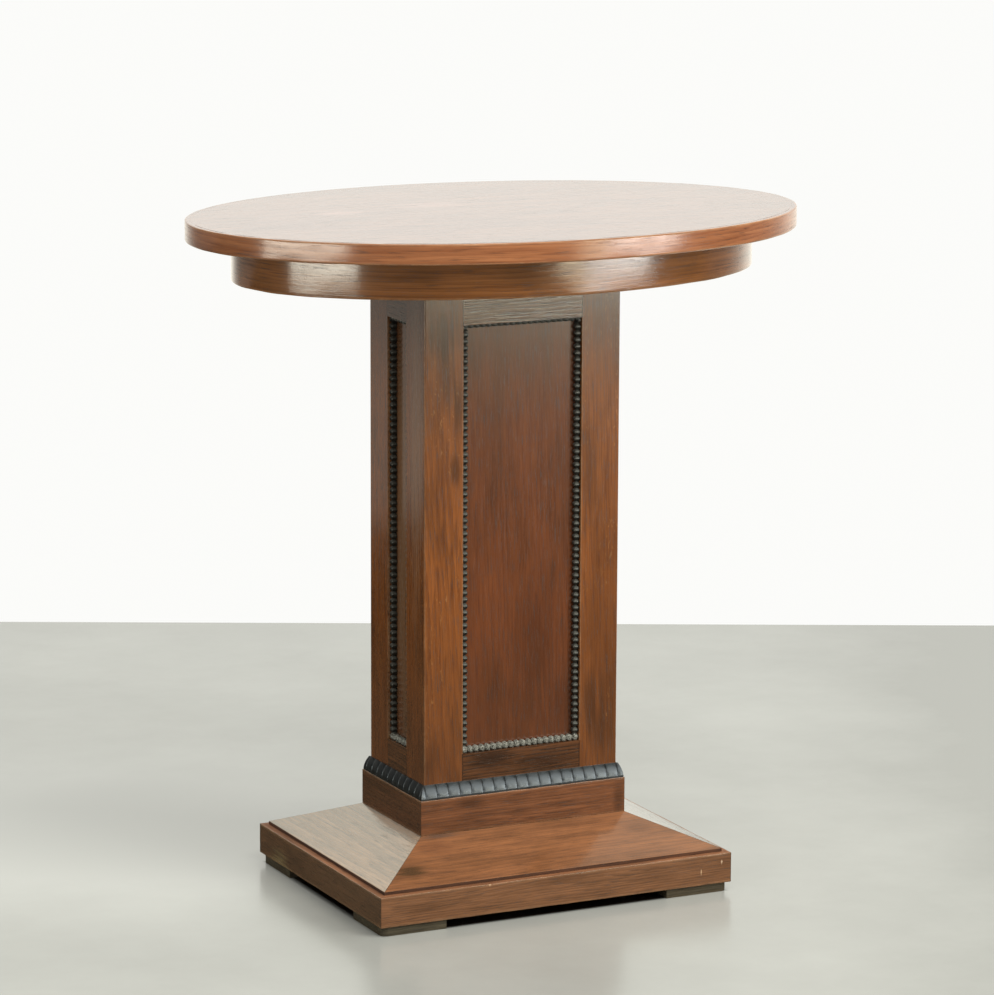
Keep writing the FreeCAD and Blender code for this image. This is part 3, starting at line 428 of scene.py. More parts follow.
def oakFinish(name, grain, marks="", spots=(), **changes):
    v, g = dict(oakValues, **changes), grainValues
    material, add, place = newMaterial(name)
    if grain == "UV":
        source = add("UVMap", uv_map="grain")
        source = add("VectorMath", {0: source, "Scale": 1 / mm}, "SCALE")
        order = (1, 2, 0)
    else:
        source = place
        order = {"X": (1, 2, 0), "Y": (0, 2, 1), "Z": (0, 1, 2)}[grain]
    axes = add("SeparateXYZ", [source]).outputs
    # Across the grain in X and Y, along it in Z, tilted a little and moved by the seed
    wood = add("Mapping", {
        "Vector": add("CombineXYZ", [axes[k] for k in order]),
        "Location": [move * v["seed"] for move in g["seedMove"]],
        "Rotation": (*map(math.radians, v["tilt"]), 0),
    })

    def grainNoise(kind, distortion=0.0):
        across, along, detail, roughness = woodNoises[kind]
        scale = (1 / across, 1 / across, 1 / along)
        stretched = add("VectorMath", [wood, scale], "MULTIPLY")
        return add("TexNoise", {"Vector": stretched, "Scale": 1.0, "Detail": detail,
                                "Roughness": roughness, "Distortion": distortion})

    def grainMask(kind, distortion=0.0):
        return add("MapRange", [grainNoise(kind, distortion), *woodMasks[kind]], "SMOOTHSTEP")

    drift = grainNoise("drift").outputs["Color"]
    drift = add("VectorMath", [drift, (0.5, 0.5, 0.5)], "SUBTRACT")
    drift = add("VectorMath", [drift, (g["wander"], g["wander"], 0)], "MULTIPLY")
    fromPith = add("VectorMath", [wood, (*v["pith"], 0)], "SUBTRACT")
    fromPith = add("VectorMath", [fromPith, drift], "ADD")
    fromPith = add("VectorMath", [fromPith, (1, 1, 0)], "MULTIPLY")
    radius = add("VectorMath", [fromPith], "LENGTH").outputs["Value"]
    fibre, streak = grainNoise("fibre"), grainNoise("streak")
    years = add("Math", [radius, v["ring"]], "DIVIDE")
    years = add("Math", [streak, g["streakBend"], years], "MULTIPLY_ADD")
    years = add("Math", [fibre, g["fibreBend"], years], "MULTIPLY_ADD")
    early = add("ValToRGB", [add("Math", [years], "FRACT")])
    for element in early.color_ramp.elements:
        element.color = (0, 0, 0, 1)
    for stop, level in g["yearStops"]:
        early.color_ramp.elements.new(stop).color = (level, level, level, 1)
    inEarly = add("Math", [early, 1 - g["latePores"], g["latePores"]], "MULTIPLY_ADD")
    pores = add("Math", [grainMask("pore"), inEarly], "MULTIPLY")

    # Colour: year rings, fibres and streaks, then stain blotches, ray flecks and pores
    base = 0.5 - g["meanEarly"] * v["ringDepth"]
    tone = add("Math", [early, v["ringDepth"], base], "MULTIPLY_ADD")
    fibreTone = add("Math", [fibre, 0.5], "SUBTRACT")
    streakTone = add("Math", [streak, 0.5], "SUBTRACT")
    tone = add("Math", [fibreTone, v["fibreDepth"] * 2, tone], "MULTIPLY_ADD")
    tone = add("Math", [streakTone, v["streakDepth"] * 2, tone], "MULTIPLY_ADD", use_clamp=True)
    colour = laidOver(add, toLinear(v["late"]), tone, v["early"])
    colour = laidOver(add, colour, grainMask("blotch"), v["deep"], v["blotchDepth"])
    if v["fleckDepth"]:
        # Medullary rays: wavy pale marks some 10 mm long that cross the year rings
        flecks = add("Math", [grainMask("fleck", g["fleckBend"]), grainMask("fleckArea")], "MULTIPLY")
        colour = laidOver(add, colour, flecks, v["fleck"], v["fleckDepth"])
    colour = laidOver(add, colour, pores, v["pore"], v["poreDepth"])
    # Stains, patches, painted shade and painted light of this piece: soft oval spots, their edges broken by
    # the grain
    for centre, size, depth, code in spots:
        gap = add("VectorMath", [place, centre], "SUBTRACT")
        gap = add("VectorMath", [gap, [1 / s for s in size]], "MULTIPLY")
        gap = add("VectorMath", [gap], "LENGTH").outputs["Value"]
        for broken, by in zip((streakTone, fibreTone), g["spotEdge"]):
            gap = add("Math", [broken, by, gap], "MULTIPLY_ADD")
        spot = add("MapRange", [gap, *g["spotRange"]], "SMOOTHSTEP")
        colour = laidOver(add, colour, spot, code, depth)

    # Wear along the arrises, which is rubbed through the polish, and dark lines at the joints
    if marks:
        if marks == "column":
            worn, joint = columnMarks(add, place)
        else:
            worn, joint = (add("Attribute", attribute_name=label).outputs["Fac"]
                           for label in ("arris", "joint"))
        scuff = add("TexNoise", {"Vector": place, **g["scuff"]})
        scuff = add("MapRange", [scuff, *g["scuffRange"]])
        worn = add("Math", [worn, scuff], "MULTIPLY")
        colour = laidOver(add, colour, worn, v["worn"], v["wear"])
        colour = laidOver(add, colour, joint, v["pore"], g["jointDepth"])

    # Surface: pores and early wood lie lower and duller under the polish
    height = 0.0
    for part, rise in zip((early, pores, fibre), g["relief"]):
        height = add("Math", [part, rise, height], "MULTIPLY_ADD")
    bump, coatBump = (
        add("Bump", {"Height": height, "Strength": strength, "Distance": g["reliefDepth"]})
        for strength in (v["bump"], v["coatBump"]))
    rough = add("Math", [pores, g["poreRoughness"], v["roughness"]], "MULTIPLY_ADD")
    shader = add("BsdfPrincipled", {
        "Base Color": colour, "Roughness": rough, "Normal": bump, "IOR": v["ior"],
        "Coat Weight": v["coat"], "Coat Roughness": v["coatRoughness"], "Coat IOR": v["coatIor"],
        "Coat Normal": coatBump,
    })
    add("OutputMaterial", {"Surface": shader})
    return material


# In mm on the column: where rubbing begins and is full, and half a joint's dark line
columnValues = {
    "arrisRub": (1.8, 0.6),
    "openingRub": (1.5, 0.3),
    "jointWidth": 0.55,
    "onFace": 3.0,
}


def columnMarks(add, place):
    # Distances in mm to the column's edges, from the size of X and Y and from the height:
    # rubbed along the outer arrises and the edges of the opening, dark at the butt joints.
    v = columnValues
    size = add("VectorMath", [place], "ABSOLUTE")
    x, y, z = add("SeparateXYZ", [size]).outputs
    halves = (x, columnHalfWidth / mm), (y, columnHalfDepth / mm)
    inward = [add("Math", [half, axis], "SUBTRACT") for axis, half in halves]
    worn = add("MapRange", [add("Math", inward, "ADD"), *v["arrisRub"]])
    aboveLow = add("Math", [z, openingLow / mm], "GREATER_THAN")
    belowHigh = add("Math", [z, openingHigh / mm], "LESS_THAN")
    inOpening = add("Math", [aboveLow, belowHigh], "MULTIPLY")
    outside = add("Math", [1.0, inOpening], "SUBTRACT")
    joint = 0.0
    # Edges across X show on the front and the back, edges across Y on the sides
    for (axis, half), depth in zip(halves, inward[::-1]):
        on = add("Math", [depth, v["onFace"]], "LESS_THAN")
        edge = add("Math", [axis, half - postSquare / mm], "SUBTRACT")
        edge = add("Math", [edge], "ABSOLUTE")
        rub = add("MapRange", [edge, *v["openingRub"]])
        rub = add("Math", [rub, inOpening], "MULTIPLY")
        rub = add("Math", [rub, on], "MULTIPLY")
        worn = add("Math", [worn, rub], "MAXIMUM")
        line = add("Math", [edge, v["jointWidth"]], "LESS_THAN")
        line = add("Math", [line, outside], "MULTIPLY")
        line = add("Math", [line, on], "MULTIPLY")
        joint = add("Math", [line, joint], "MAXIMUM")
    return worn, joint


# Close-grained wood stained black and polished: a dark body under a soft, cool shine, with
# the grain just felt and the high spots rubbed a little greyer.
ebonyValues = {
    "body": "#121211",
    "rubbed": "#24221f",
    "wear": {"Scale": 0.16, "Detail": 4.0, "Roughness": 0.65},  # scales are per mm
    "wearRange": (0.42, 0.68),
    "grain": {"Scale": 1.1, "Detail": 3.0},
    "bump": 0.12,
    "duller": 0.14,  # roughness added by wear
    "coatRoughness": 0.3,
    "coatIor": 1.5,
}
dustAndHighlightValues = {
    "colour": "#a5a498",
    # Dust on all that faces up, which on the beads' upper halves also stands as a painted highlight
    "strips": 0.12,
    "facing": (-0.15, 0.6),  # upward share of the normal where dust begins and is full
    "foot": (0.1, 0.85),  # least and most on the strip at the foot of a panel
    "footHeight": (9, 7),  # mm above the opening's foot where that begins and is full
    "below": 0.5,  # mm under the opening's foot down to which dust lies
    "specks": {"Scale": 0.8, "Detail": 3.0, "Roughness": 0.7},
    "speckRange": (0.45, 0.56),
}


def ebonisedFinish(name, **v):
    e, d = ebonyValues, dustAndHighlightValues
    material, add, place = newMaterial(name)
    wear = add("TexNoise", {"Vector": place, **e["wear"]})
    amount = add("MapRange", [wear, *e["wearRange"]])
    colour = laidOver(add, toLinear(e["body"]), amount, e["rubbed"])
    # Dust has settled on what faces up, most of all on the strip at the foot of a panel; on the beads'
    # upper halves the pale tone is also a painted highlight
    facing = add("SeparateXYZ", [add("NewGeometry").outputs["Normal"]]).outputs[2]
    upwardDustAndHighlight = add("MapRange", [facing, *d["facing"]], "SMOOTHSTEP")
    upwardDustAndHighlight = add("Math", [upwardDustAndHighlight, d["strips"]], "MULTIPLY")
    level = add("SeparateXYZ", [place]).outputs[2]
    inside = add("Math", [level, openingLow / mm - d["below"]], "GREATER_THAN")
    low = add("MapRange", [level, *(openingLow / mm + rise for rise in d["footHeight"])])
    speck = add("TexNoise", {"Vector": place, **d["specks"]})
    speck = add("MapRange", [speck, *d["speckRange"], *d["foot"]])
    low = add("Math", [low, speck], "MULTIPLY")
    dustAndHighlight = add("Math", [upwardDustAndHighlight, low], "MAXIMUM")
    dustAndHighlight = add("Math", [dustAndHighlight, inside], "MULTIPLY")
    colour = laidOver(add, colour, dustAndHighlight, d["colour"])
    grain = add("TexNoise", {"Vector": place, **e["grain"]})
    bump = add("Bump", {"Height": grain, "Strength": e["bump"], "Distance": grainValues["reliefDepth"]})
    rough = add("MapRange", [wear, *noiseRange, v["roughness"], v["roughness"] + e["duller"]])
    shader = add("BsdfPrincipled", {
        "Base Color": colour, "Roughness": rough, "Normal": bump, "IOR": v["ior"],
        "Coat Weight": v["coat"], "Coat Roughness": e["coatRoughness"], "Coat IOR": e["coatIor"],
        "Specular Tint": (*v["tint"], 1),
    })
    add("OutputMaterial", {"Surface": shader})
    return material


steelValues = {
    "clean": "#7d7a74",
    "rusty": "#4c3426",
    "rust": {"Scale": 0.7, "Detail": 3.0},  # scale is per mm
    "rustRange": (0.5, 0.68),
    "roughness": (0.35, 0.65),
}


def steelFinish(name):
    # Drawn steel wire gone dull with age: grey, with brown specks of rust.
    v = steelValues
    material, add, place = newMaterial(name)
    rust = add("TexNoise", {"Vector": place, **v["rust"]})
    amount = add("MapRange", [rust, *v["rustRange"]])
    colour = laidOver(add, toLinear(v["clean"]), amount, v["rusty"])
    rough = add("MapRange", [rust, *noiseRange, *v["roughness"]])
    shader = add("BsdfPrincipled", {"Base Color": colour, "Roughness": rough, "Metallic": 1.0})
    add("OutputMaterial", {"Surface": shader})
    return material


# Stains, dark and pale patches, chips, painted shade and painted light of single pieces: place and reach in
# mm, depth and colour
topSpots = [
    ((-165, 50, 762), (40, 26, 9), 0.5, "#b5806c"), ((-46, 72, 762), (55, 30, 9), 0.4, "#b5806c"),
    ((48, 11, 762), (16, 7, 9), 0.8, "#4a2a1c"), ((123, -14, 762), (12, 6, 9), 0.8, "#4a2a1c"),
    ((270, -12, 762), (15, 5, 9), 0.7, "#6b3f2c"),
]
postSpots = [
    # On the left stile, the dark spots at 640 and 600 mm high are stain and in part painted shade under the
    # table's top
    ((-97, -72, 640), (30, 10, 34), 0.55, "#2a1c12"), ((-93, -72, 668), (24, 10, 6), 0.5, "#7d5848"),
    ((-82, -72, 489), (9, 10, 24), 0.6, "#2b180c"), ((-78, -72, 560), (7, 10, 50), 0.6, "#2b1c11"),
    ((-94, -72, 600), (16, 10, 60), 0.5, "#3a2213"),
    ((86, -72, 213), (12, 10, 46), 0.55, "#3a1f10"), ((98, -72, 180), (20, 10, 40), 0.4, "#3a1f10"),
    ((-112, -72, 150), (10, 10, 50), 0.35, "#3f2314"), ((108, -72, 300), (40, 12, 190), 0.35, "#4a2712"),
    ((-119.5, -50, 560), (4, 21, 330), 0.45, "#94755a"),
    # Painted shade: darker down from under the table's top, and darker towards the foot of the column
    ((0, 0, 725), (900, 900, 190), 0.5, "#34271a"), ((0, 0, 110), (900, 900, 240), 0.35, "#38261a"),
]
panelSpots = [
    # Painted light: the left panel made paler over its middle, where it lies in shade
    ((-110.5, 0, 400), (4, 60, 420), 0.6, "#8c6c4e"),
    ((23, -63, 288), (42, 10, 100), 0.35, "#33190d"), ((55, -63, 210), (22, 10, 60), 0.35, "#33190d"),
    # Painted shade: darker down from under the table's top, and darker towards the foot
    ((0, 0, 690), (900, 900, 150), 0.45, "#3a2c1c"), ((0, 0, 110), (900, 900, 240), 0.3, "#332117"),
]
railSpots = [
    ((-40, -72, 158), (34, 10, 14), 0.75, "#2a170d"), ((30, -72, 150), (50, 10, 12), 0.6, "#2f1a0f"),
]
plinthSpots = [
    ((-67, -79, 112), (30, 8, 9), 0.6, "#2f1a0f"), ((119, -79, 94), (9, 8, 30), 0.5, "#2f1a0f"),
    ((-10, -79, 96), (26, 8, 4), 0.4, "#3a2013"),
]
slopeSpots = [
    # The first spot is painted shade in the angle under the plinth
    ((-106, -81, 80), (38, 8, 5), 0.75, "#4c3f38"), ((-163, -134, 59), (24, 16, 10), 0.85, "#3e2c18"),
    ((-120, -100, 72), (30, 16, 12), 0.4, "#5a3420"), ((129, -110, 70), (26, 16, 9), 0.4, "#3c2417"),
    ((60, -90, 76), (60, 7, 6), 0.35, "#4a2a18"),
]
rimSpots = [
    ((204, -168.5, 35), (1.3, 4, 4), 0.8, "#d3b696"), ((178, -168.5, 26), (0.9, 4, 4.5), 0.8, "#c9a67f"),
    ((-85, -168.5, 44), (1.5, 4, 2.2), 0.8, "#c8a280"),
]
rimSideSpots = [((-216, 108, 17), (10, 34, 13), 0.7, "#85734e")]

topFinish = oakFinish(
    "oakTopVeneer", "X", seed=1, early="#6b3d25", late="#95603c", deep="#5a2f1c", ring=4.2, pith=(30, 60),
    coat=1.0, coatRoughness=0.09, roughness=0.3, bump=0.15, coatBump=0.05, spots=topSpots)
bandFinish = oakFinish(
    "oakEdgeBand", "UV", "attributes", seed=2, early="#834d31", late="#ae714a", deep="#744123",
    pith=(40, 25), coat=0.5, coatRoughness=0.17, fibreDepth=0.6, ringDepth=0.35, tilt=(0.2, 0.3))
hoopFinish = oakFinish(
    "oakHoopVeneer", "UV", "attributes", seed=3, early="#764522", late="#ac6f3f", pith=(60, 35), ring=2.6,
    tilt=(0.2, 0.3), coat=1.0, coatBump=0.12, coatRoughness=0.13, ringDepth=0.3, fibreDepth=0.7,
    streakDepth=0.7)
postFinish = oakFinish(
    "oakPosts", "Z", "column", seed=4, late="#9d5c2b", early="#6c3c1c", fleckDepth=0.5, ringDepth=0.35,
    poreDepth=0.85, coatBump=0.08, spots=postSpots)
panelFinish = oakFinish(
    "oakPanels", "Z", seed=5, late="#824826", early="#5c311b", ring=2.8, ringDepth=0.3, poreDepth=0.85,
    streakDepth=0.6, bump=0.08, coatBump=0.03, spots=panelSpots)
# Pieces of one kind run along X at the front and the back, and along Y at the sides
railFinishes = {
    "X": oakFinish("oakRailsWide", "X", "column", seed=6, late="#684024", early="#3a2314", ringDepth=0.9,
                   ring=4.2, coatBump=0.15, spots=railSpots),
    "Y": oakFinish("oakRailsNarrow", "Y", "column", seed=7, late="#74492a", early="#412717",
                   ringDepth=0.8, coatBump=0.15),
}
plinthFinishes = {
    "X": oakFinish("oakPlinthWide", "X", "attributes", seed=8, late="#8b5737", early="#603a24", wear=0.25,
                   spots=plinthSpots),
    "Y": oakFinish("oakPlinthNarrow", "Y", "attributes", seed=9, late="#74492c", early="#50311c"),
}
slopeFinishes = {
    "X": oakFinish("oakSlopeWide", "X", "attributes", seed=10, late="#a06840", early="#704930", wear=0.1,
                   ringDepth=0.3, streakDepth=0.7, fibreDepth=0.55, poreDepth=0.5, coat=0.7,
                   spots=slopeSpots),
    "Y": oakFinish("oakSlopeNarrow", "Y", "attributes", seed=11, late="#9c7858", early="#674d38",
                   coat=1.0, wear=0.1, coatIor=1.6, coatBump=0.12, ring=6.5, ringDepth=0.35,
                   fibreDepth=0.8, streakDepth=1.1),
}
rimFinishes = {
    "X": oakFinish("oakRimWide", "X", "attributes", seed=12, streakDepth=0.6, coat=0.7, wear=0.35,
                   late="#8f6243", early="#664630", spots=rimSpots),
    "Y": oakFinish("oakRimNarrow", "Y", "attributes", seed=13, late="#765136", early="#543924",
                   streakDepth=0.4, fibreDepth=0.6, spots=rimSideSpots),
}
# Matt, without polish: the slope's low edge in a darker colour, and the ledge beside it
stepFinishes = {grain: oakFinish("oakSteps" + grain, grain, seed=16, late="#5c3822", early="#402617",
                                 coat=0.0, roughness=0.7) for grain in "XY"}
ledgeFinishes = {grain: oakFinish("oakLedges" + grain, grain, seed=17, late="#a06c48", early="#805234",
                                  coat=0.0, roughness=0.7) for grain in "XY"}
# Oak with little polish, gone grey from the floor, and planed beech that was left bare
footFinish = oakFinish("oakFeet", "X", seed=14, late="#5a5242", early="#3c372c", coat=0.2)
innerFinish = oakFinish(
    "beechInside", "X", seed=15, late="#a98a64", early="#927352", deep="#7c5f42", pore="#6b4f36",
    fleck="#b89c78", coat=0.0, roughness=0.7, ringDepth=0.3, poreDepth=0.3)
beadFinish = ebonisedFinish("ebonisedBeads", roughness=0.32, ior=1.5, coat=0.2, tint=(0.95, 1, 0.93))
lobeFinish = ebonisedFinish("ebonisedLobes", roughness=0.27, ior=1.8, coat=0.0, tint=(0.76, 0.88, 1))
screwFinish = steelFinish("agedSteel")
print("materials made:", len(bpy.data.materials))


# Pieces

def settle(piece, slotName, material, *replaced):
    # Gives a finished piece its material and its place in the frame.
    piece.data.materials.clear()
    piece.data.materials.append(material)
    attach(piece, "root")
    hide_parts(*replaced)


def facesInto(piece, material, chosen):
    # Gives some faces of a piece a second material; chosen says which, from their normals' Z.
    faces = piece.data.polygons
    normals = np.zeros(len(faces) * 3)
    faces.foreach_get("normal", normals)
    piece.data.materials.append(material)
    faces.foreach_set("material_index", chosen(normals[2::3]).astype(np.int32))


bandLow, bandHigh = boxOf("top_edge_band")
topValues = {
    "halfLength": min(bandHigh[0], -bandLow[0]),
    "halfWidth": min(bandHigh[1], -bandLow[1]),
    "low": bandLow[2],
    "high": bandHigh[2],
    "band": 6 * mm,
    "rounding": [1.5 * mm, 1.5 * mm, 0.05 * mm, 0.05 * mm],
    "shares": (0.02, 0.2, 0.4, 0.6, 0.8, 0.95, 1.0),  # of the board's reach, from the middle
    "steps": 384,
    "wear": 0.2 * mm,
    "wearAngle": 0.5,  # radians in which the wear goes up and down
    "seed": 21,
}


def makeTop():
    # The band is the outer ring, the board fills it and is a closed shell of flat ellipses.
    v = topValues
    low, high, inner = v["low"], v["high"], v["band"]
    band = ovalRing("topEdgeBand", dict(v, section=[(0, low), (0, high), (inner, high), (inner, low)]))
    settle(band, "oak_band", bandFinish, "top_edge_band")
    # The top's veneer runs out over the band, so the band's upper face shows it
    facesInto(band, topFinish, lambda up: up > 0.99)
    share = np.array([*v["shares"], *v["shares"][::-1]])[:, None]
    height = np.repeat([low, high], len(v["shares"]))[:, None]
    angle = np.linspace(0, 2 * np.pi, v["steps"], endpoint=False)[None, :]
    reachX, reachY = v["halfLength"] - inner, v["halfWidth"] - inner
    grid = np.stack([share * reachX * np.cos(angle), share * reachY * np.sin(angle), height + 0 * angle],
                    axis=-1)
    settle(surfaceMesh("topBoard", grid), "oak_top", topFinish, "top_board")


makeTop()

hoopLow, hoopHigh = boxOf("apron_hoop")
hoopValues = {
    "section": [(0, hoopLow[2]), (0, hoopHigh[2]), (19 * mm, hoopHigh[2]), (19 * mm, hoopLow[2])],
    "rounding": [1.0 * mm, 0.3 * mm, 0.3 * mm, 0.6 * mm],
    "halfLength": min(hoopHigh[0], -hoopLow[0]),
    "halfWidth": min(hoopHigh[1], -hoopLow[1]),
    "steps": 384,
    "wear": 0.4 * mm,
    "wearAngle": 0.5,
    "seed": 22,
}
settle(ovalRing("apronHoop", hoopValues), "oak_hoop", hoopFinish, "apron_hoop")
print("top and hoop made")

plinthLow, plinthHigh = boxOf("front_plinth_board")
slopeLow, slopeHigh = boxOf("front_slope_board")
rimLow, rimHigh = boxOf("front_rim_board")
plinthReach = -plinthLow[1] - columnHalfDepth
slopeReach = -slopeLow[1] - columnHalfDepth
rimReach = -rimLow[1] - columnHalfDepth
rimInner = rimReach - 22 * mm
baseValues = {
    "plinth": {
        "section": [(0, plinthLow[2]), (plinthReach, plinthLow[2]), (plinthReach, plinthHigh[2]),
                    (0, plinthHigh[2])],
        "rounding": [0.1 * mm, 0.3 * mm, 0.5 * mm, 0.1 * mm],
        "wear": 0.4 * mm,
        "steps": 60,
        "seed": 31,
        "finishes": plinthFinishes,
    },
    "slope": {
        "section": [(0, slopeHigh[2]), (plinthReach, slopeHigh[2]), (slopeReach, slopeLow[2] + 3.8 * mm),
                    (slopeReach, slopeLow[2]), (rimInner, slopeLow[2]), (0, slopeLow[2] + 29.7 * mm)],
        "rounding": [0.1 * mm, 0.2 * mm, 0.4 * mm, 0.2 * mm, 0.2 * mm, 0.1 * mm],
        "wear": 0.1 * mm,
        "steps": 90,
        "seed": 32,
        "finishes": slopeFinishes,
    },
    "rim": {
        "section": [(rimInner, rimLow[2]), (rimReach, rimLow[2]), (rimReach, rimHigh[2]),
                    (rimInner, rimHigh[2])],
        "rounding": [0.3 * mm, 0.9 * mm, 0.4 * mm, 0.3 * mm],
        "wear": 0.3 * mm,
        "steps": 110,
        "seed": 33,
        "finishes": rimFinishes,
    },
}

for side in sides:
    grain = "X" if side in ("front", "back") else "Y"
    for kind, values in baseValues.items():
        board = mitredBoard("%sBoard_%s" % (kind, side), side, values)
        settle(board, "oak_level", values["finishes"][grain], "%s_%s_board" % (side, kind))
        # The polish is gone from the slope's low edge and from the ledge beside it
        if kind == "slope":
            facesInto(board, stepFinishes[grain], lambda up: np.abs(up) < 0.3)
        if kind == "rim":
            facesInto(board, ledgeFinishes[grain], lambda up: up > 0.99)
print("base boards made")

beadValues = {
    "offset": 3.5 * mm,
    "radius": 3.65 * mm,
    "neck": 1.5 * mm,
    "pitch": 7.38 * mm,
    "tightness": 0.95,
    "squareness": 5,
    "around": [-90, -70, -57, -50, -45, -40, -33, -20, 0, 20, 33, 40, 45, 50, 57, 70, 90,
               110, 123, 135, 147, 160, 180],
    "topShare": 0.55,  # of the top strip's height that the rail leaves in sight
    "shares": [0.0, 0.06, 0.16, 0.32, 0.5, 0.68, 0.84, 0.94],
}
lobeLow, lobeHigh = boxOf("front_gadroon")
lobeValues = {
    "foot": 6.3 * mm,
    "top": 1.4 * mm,
    "fillet": 2 * mm,
    "low": lobeLow[2],
    "high": lobeHigh[2],
    "pitch": 14 * mm,
    "depth": 0.8 * mm,
    "bulge": 0.8 * mm,
    "flatness": 8,
    "crown": 0.9,
    "crownShare": 0.6,
    "start": 0.06,  # share of the height over which the valleys begin
    "least": 0.35,  # reach in the valleys, as a share of the top's
    "rise": 11,
    "shares": [0.0, 0.02, 0.045, 0.08, 0.13, 0.25, 0.5, 0.75, 0.87, 0.92, 0.955, 0.98],
}
up, right = np.array([0, 0, 1.0]), np.array([1.0, 0, 0])
tall = openingHigh - openingLow
for side, (turn, halfSpan, face) in sides.items():
    half = halfSpan - postSquare
    depth = -(face - (columnHalfDepth - panelFace))
    strips = {
        "bead_left": [((-half, depth, openingHigh), -up, right, tall)],
        "bead_right": [((half, depth, openingLow), up, -right, tall)],
        "bead_ends": [((-half, depth, openingLow), right, up, 2 * half),
                      ((half, depth, openingHigh), -right, -up, 2 * half, beadValues["topShare"])],
    }
    for kind, rows in strips.items():
        made = [beadStrip(side, beadValues, *row) for row in rows]
        strip = joined("beads_%s_%s" % (side, kind.split("_")[1]), made)
        settle(strip, "ebonised_trim", beadFinish, "%s_%s" % (side, kind))
    moulding = lobedMoulding("lobes_%s" % side, side, lobeValues)
    settle(moulding, "ebonised_trim", lobeFinish, "%s_gadroon" % side)
print("bead strips and lobed mouldings made")

# The other nodes keep their CAD meshes, each with the first finish that its name asks for
nodeFinishes = {
    "screws": screwFinish, "_post": postFinish, "_panel": panelFinish, "_foot": footFinish,
    "bearer": innerFinish, "blocks": innerFinish, "base_board": innerFinish,
}
for name, node in nodes.items():
    if node.hide_render:
        continue
    finish = next((material for part, material in nodeFinishes.items() if part in name), None)
    if name.endswith("_rail"):
        finish = railFinishes["X" if name.split("_")[0] in ("front", "back") else "Y"]
    for slot in node.material_slots:
        slot.link = "OBJECT"
        slot.material = finish
print("frame nodes finished")


# Floor, lights and camera

# Lengths in metres. A range gives where a mask begins and is full, then its two levels.
floorValues = {
    "pale": "#bdbeb8",
    "dull": "#90918b",
    "under": "#15110e",  # in the shade between the feet
    "shade": (0.0, -0.010),  # outside the rim's outline
    "roughness": 0.22,
    "ior": 1.45,
    "clouds": {"Scale": 3.0, "Detail": 7.0, "Roughness": 0.6},
    "cloudRange": (*noiseRange, 0.25, 0.55),
    "patch": (-0.30, 0.38, 0),  # paler where the table keeps the window's light off
    "patchRange": (0.55, 0.1, 0.0, 0.75),
    # Painted shade: the floor made duller far to the right, where it catches more light
    "aside": (0.9, -0.437, 0),  # duller far to the right
    "asideRange": (0.35, 0.85, 0.0, 0.8),
    "mirroredBeside": "#504e42",  # what the polish mirrors of the floor beside the base
    "mirroredNear": "#17170f",  # of the floor close to the table
    "nearRange": (0.5, 1.4),
    "mirroredFar": "#7c725a",  # of the floor before the window
    "farRange": (2.8, 5.2),
    "mirroredBehind": "#d3d5cf",  # and of the floor behind and to the right
    "behind": (0.87, 0.5, 0),
    "behindRange": (0.3, 0.6),
    "closeRange": (1.7, 1.2),
    "wallBehind": 1.293,
    "reach": 9.0,
}
viewAzimuth = math.radians(25.877)


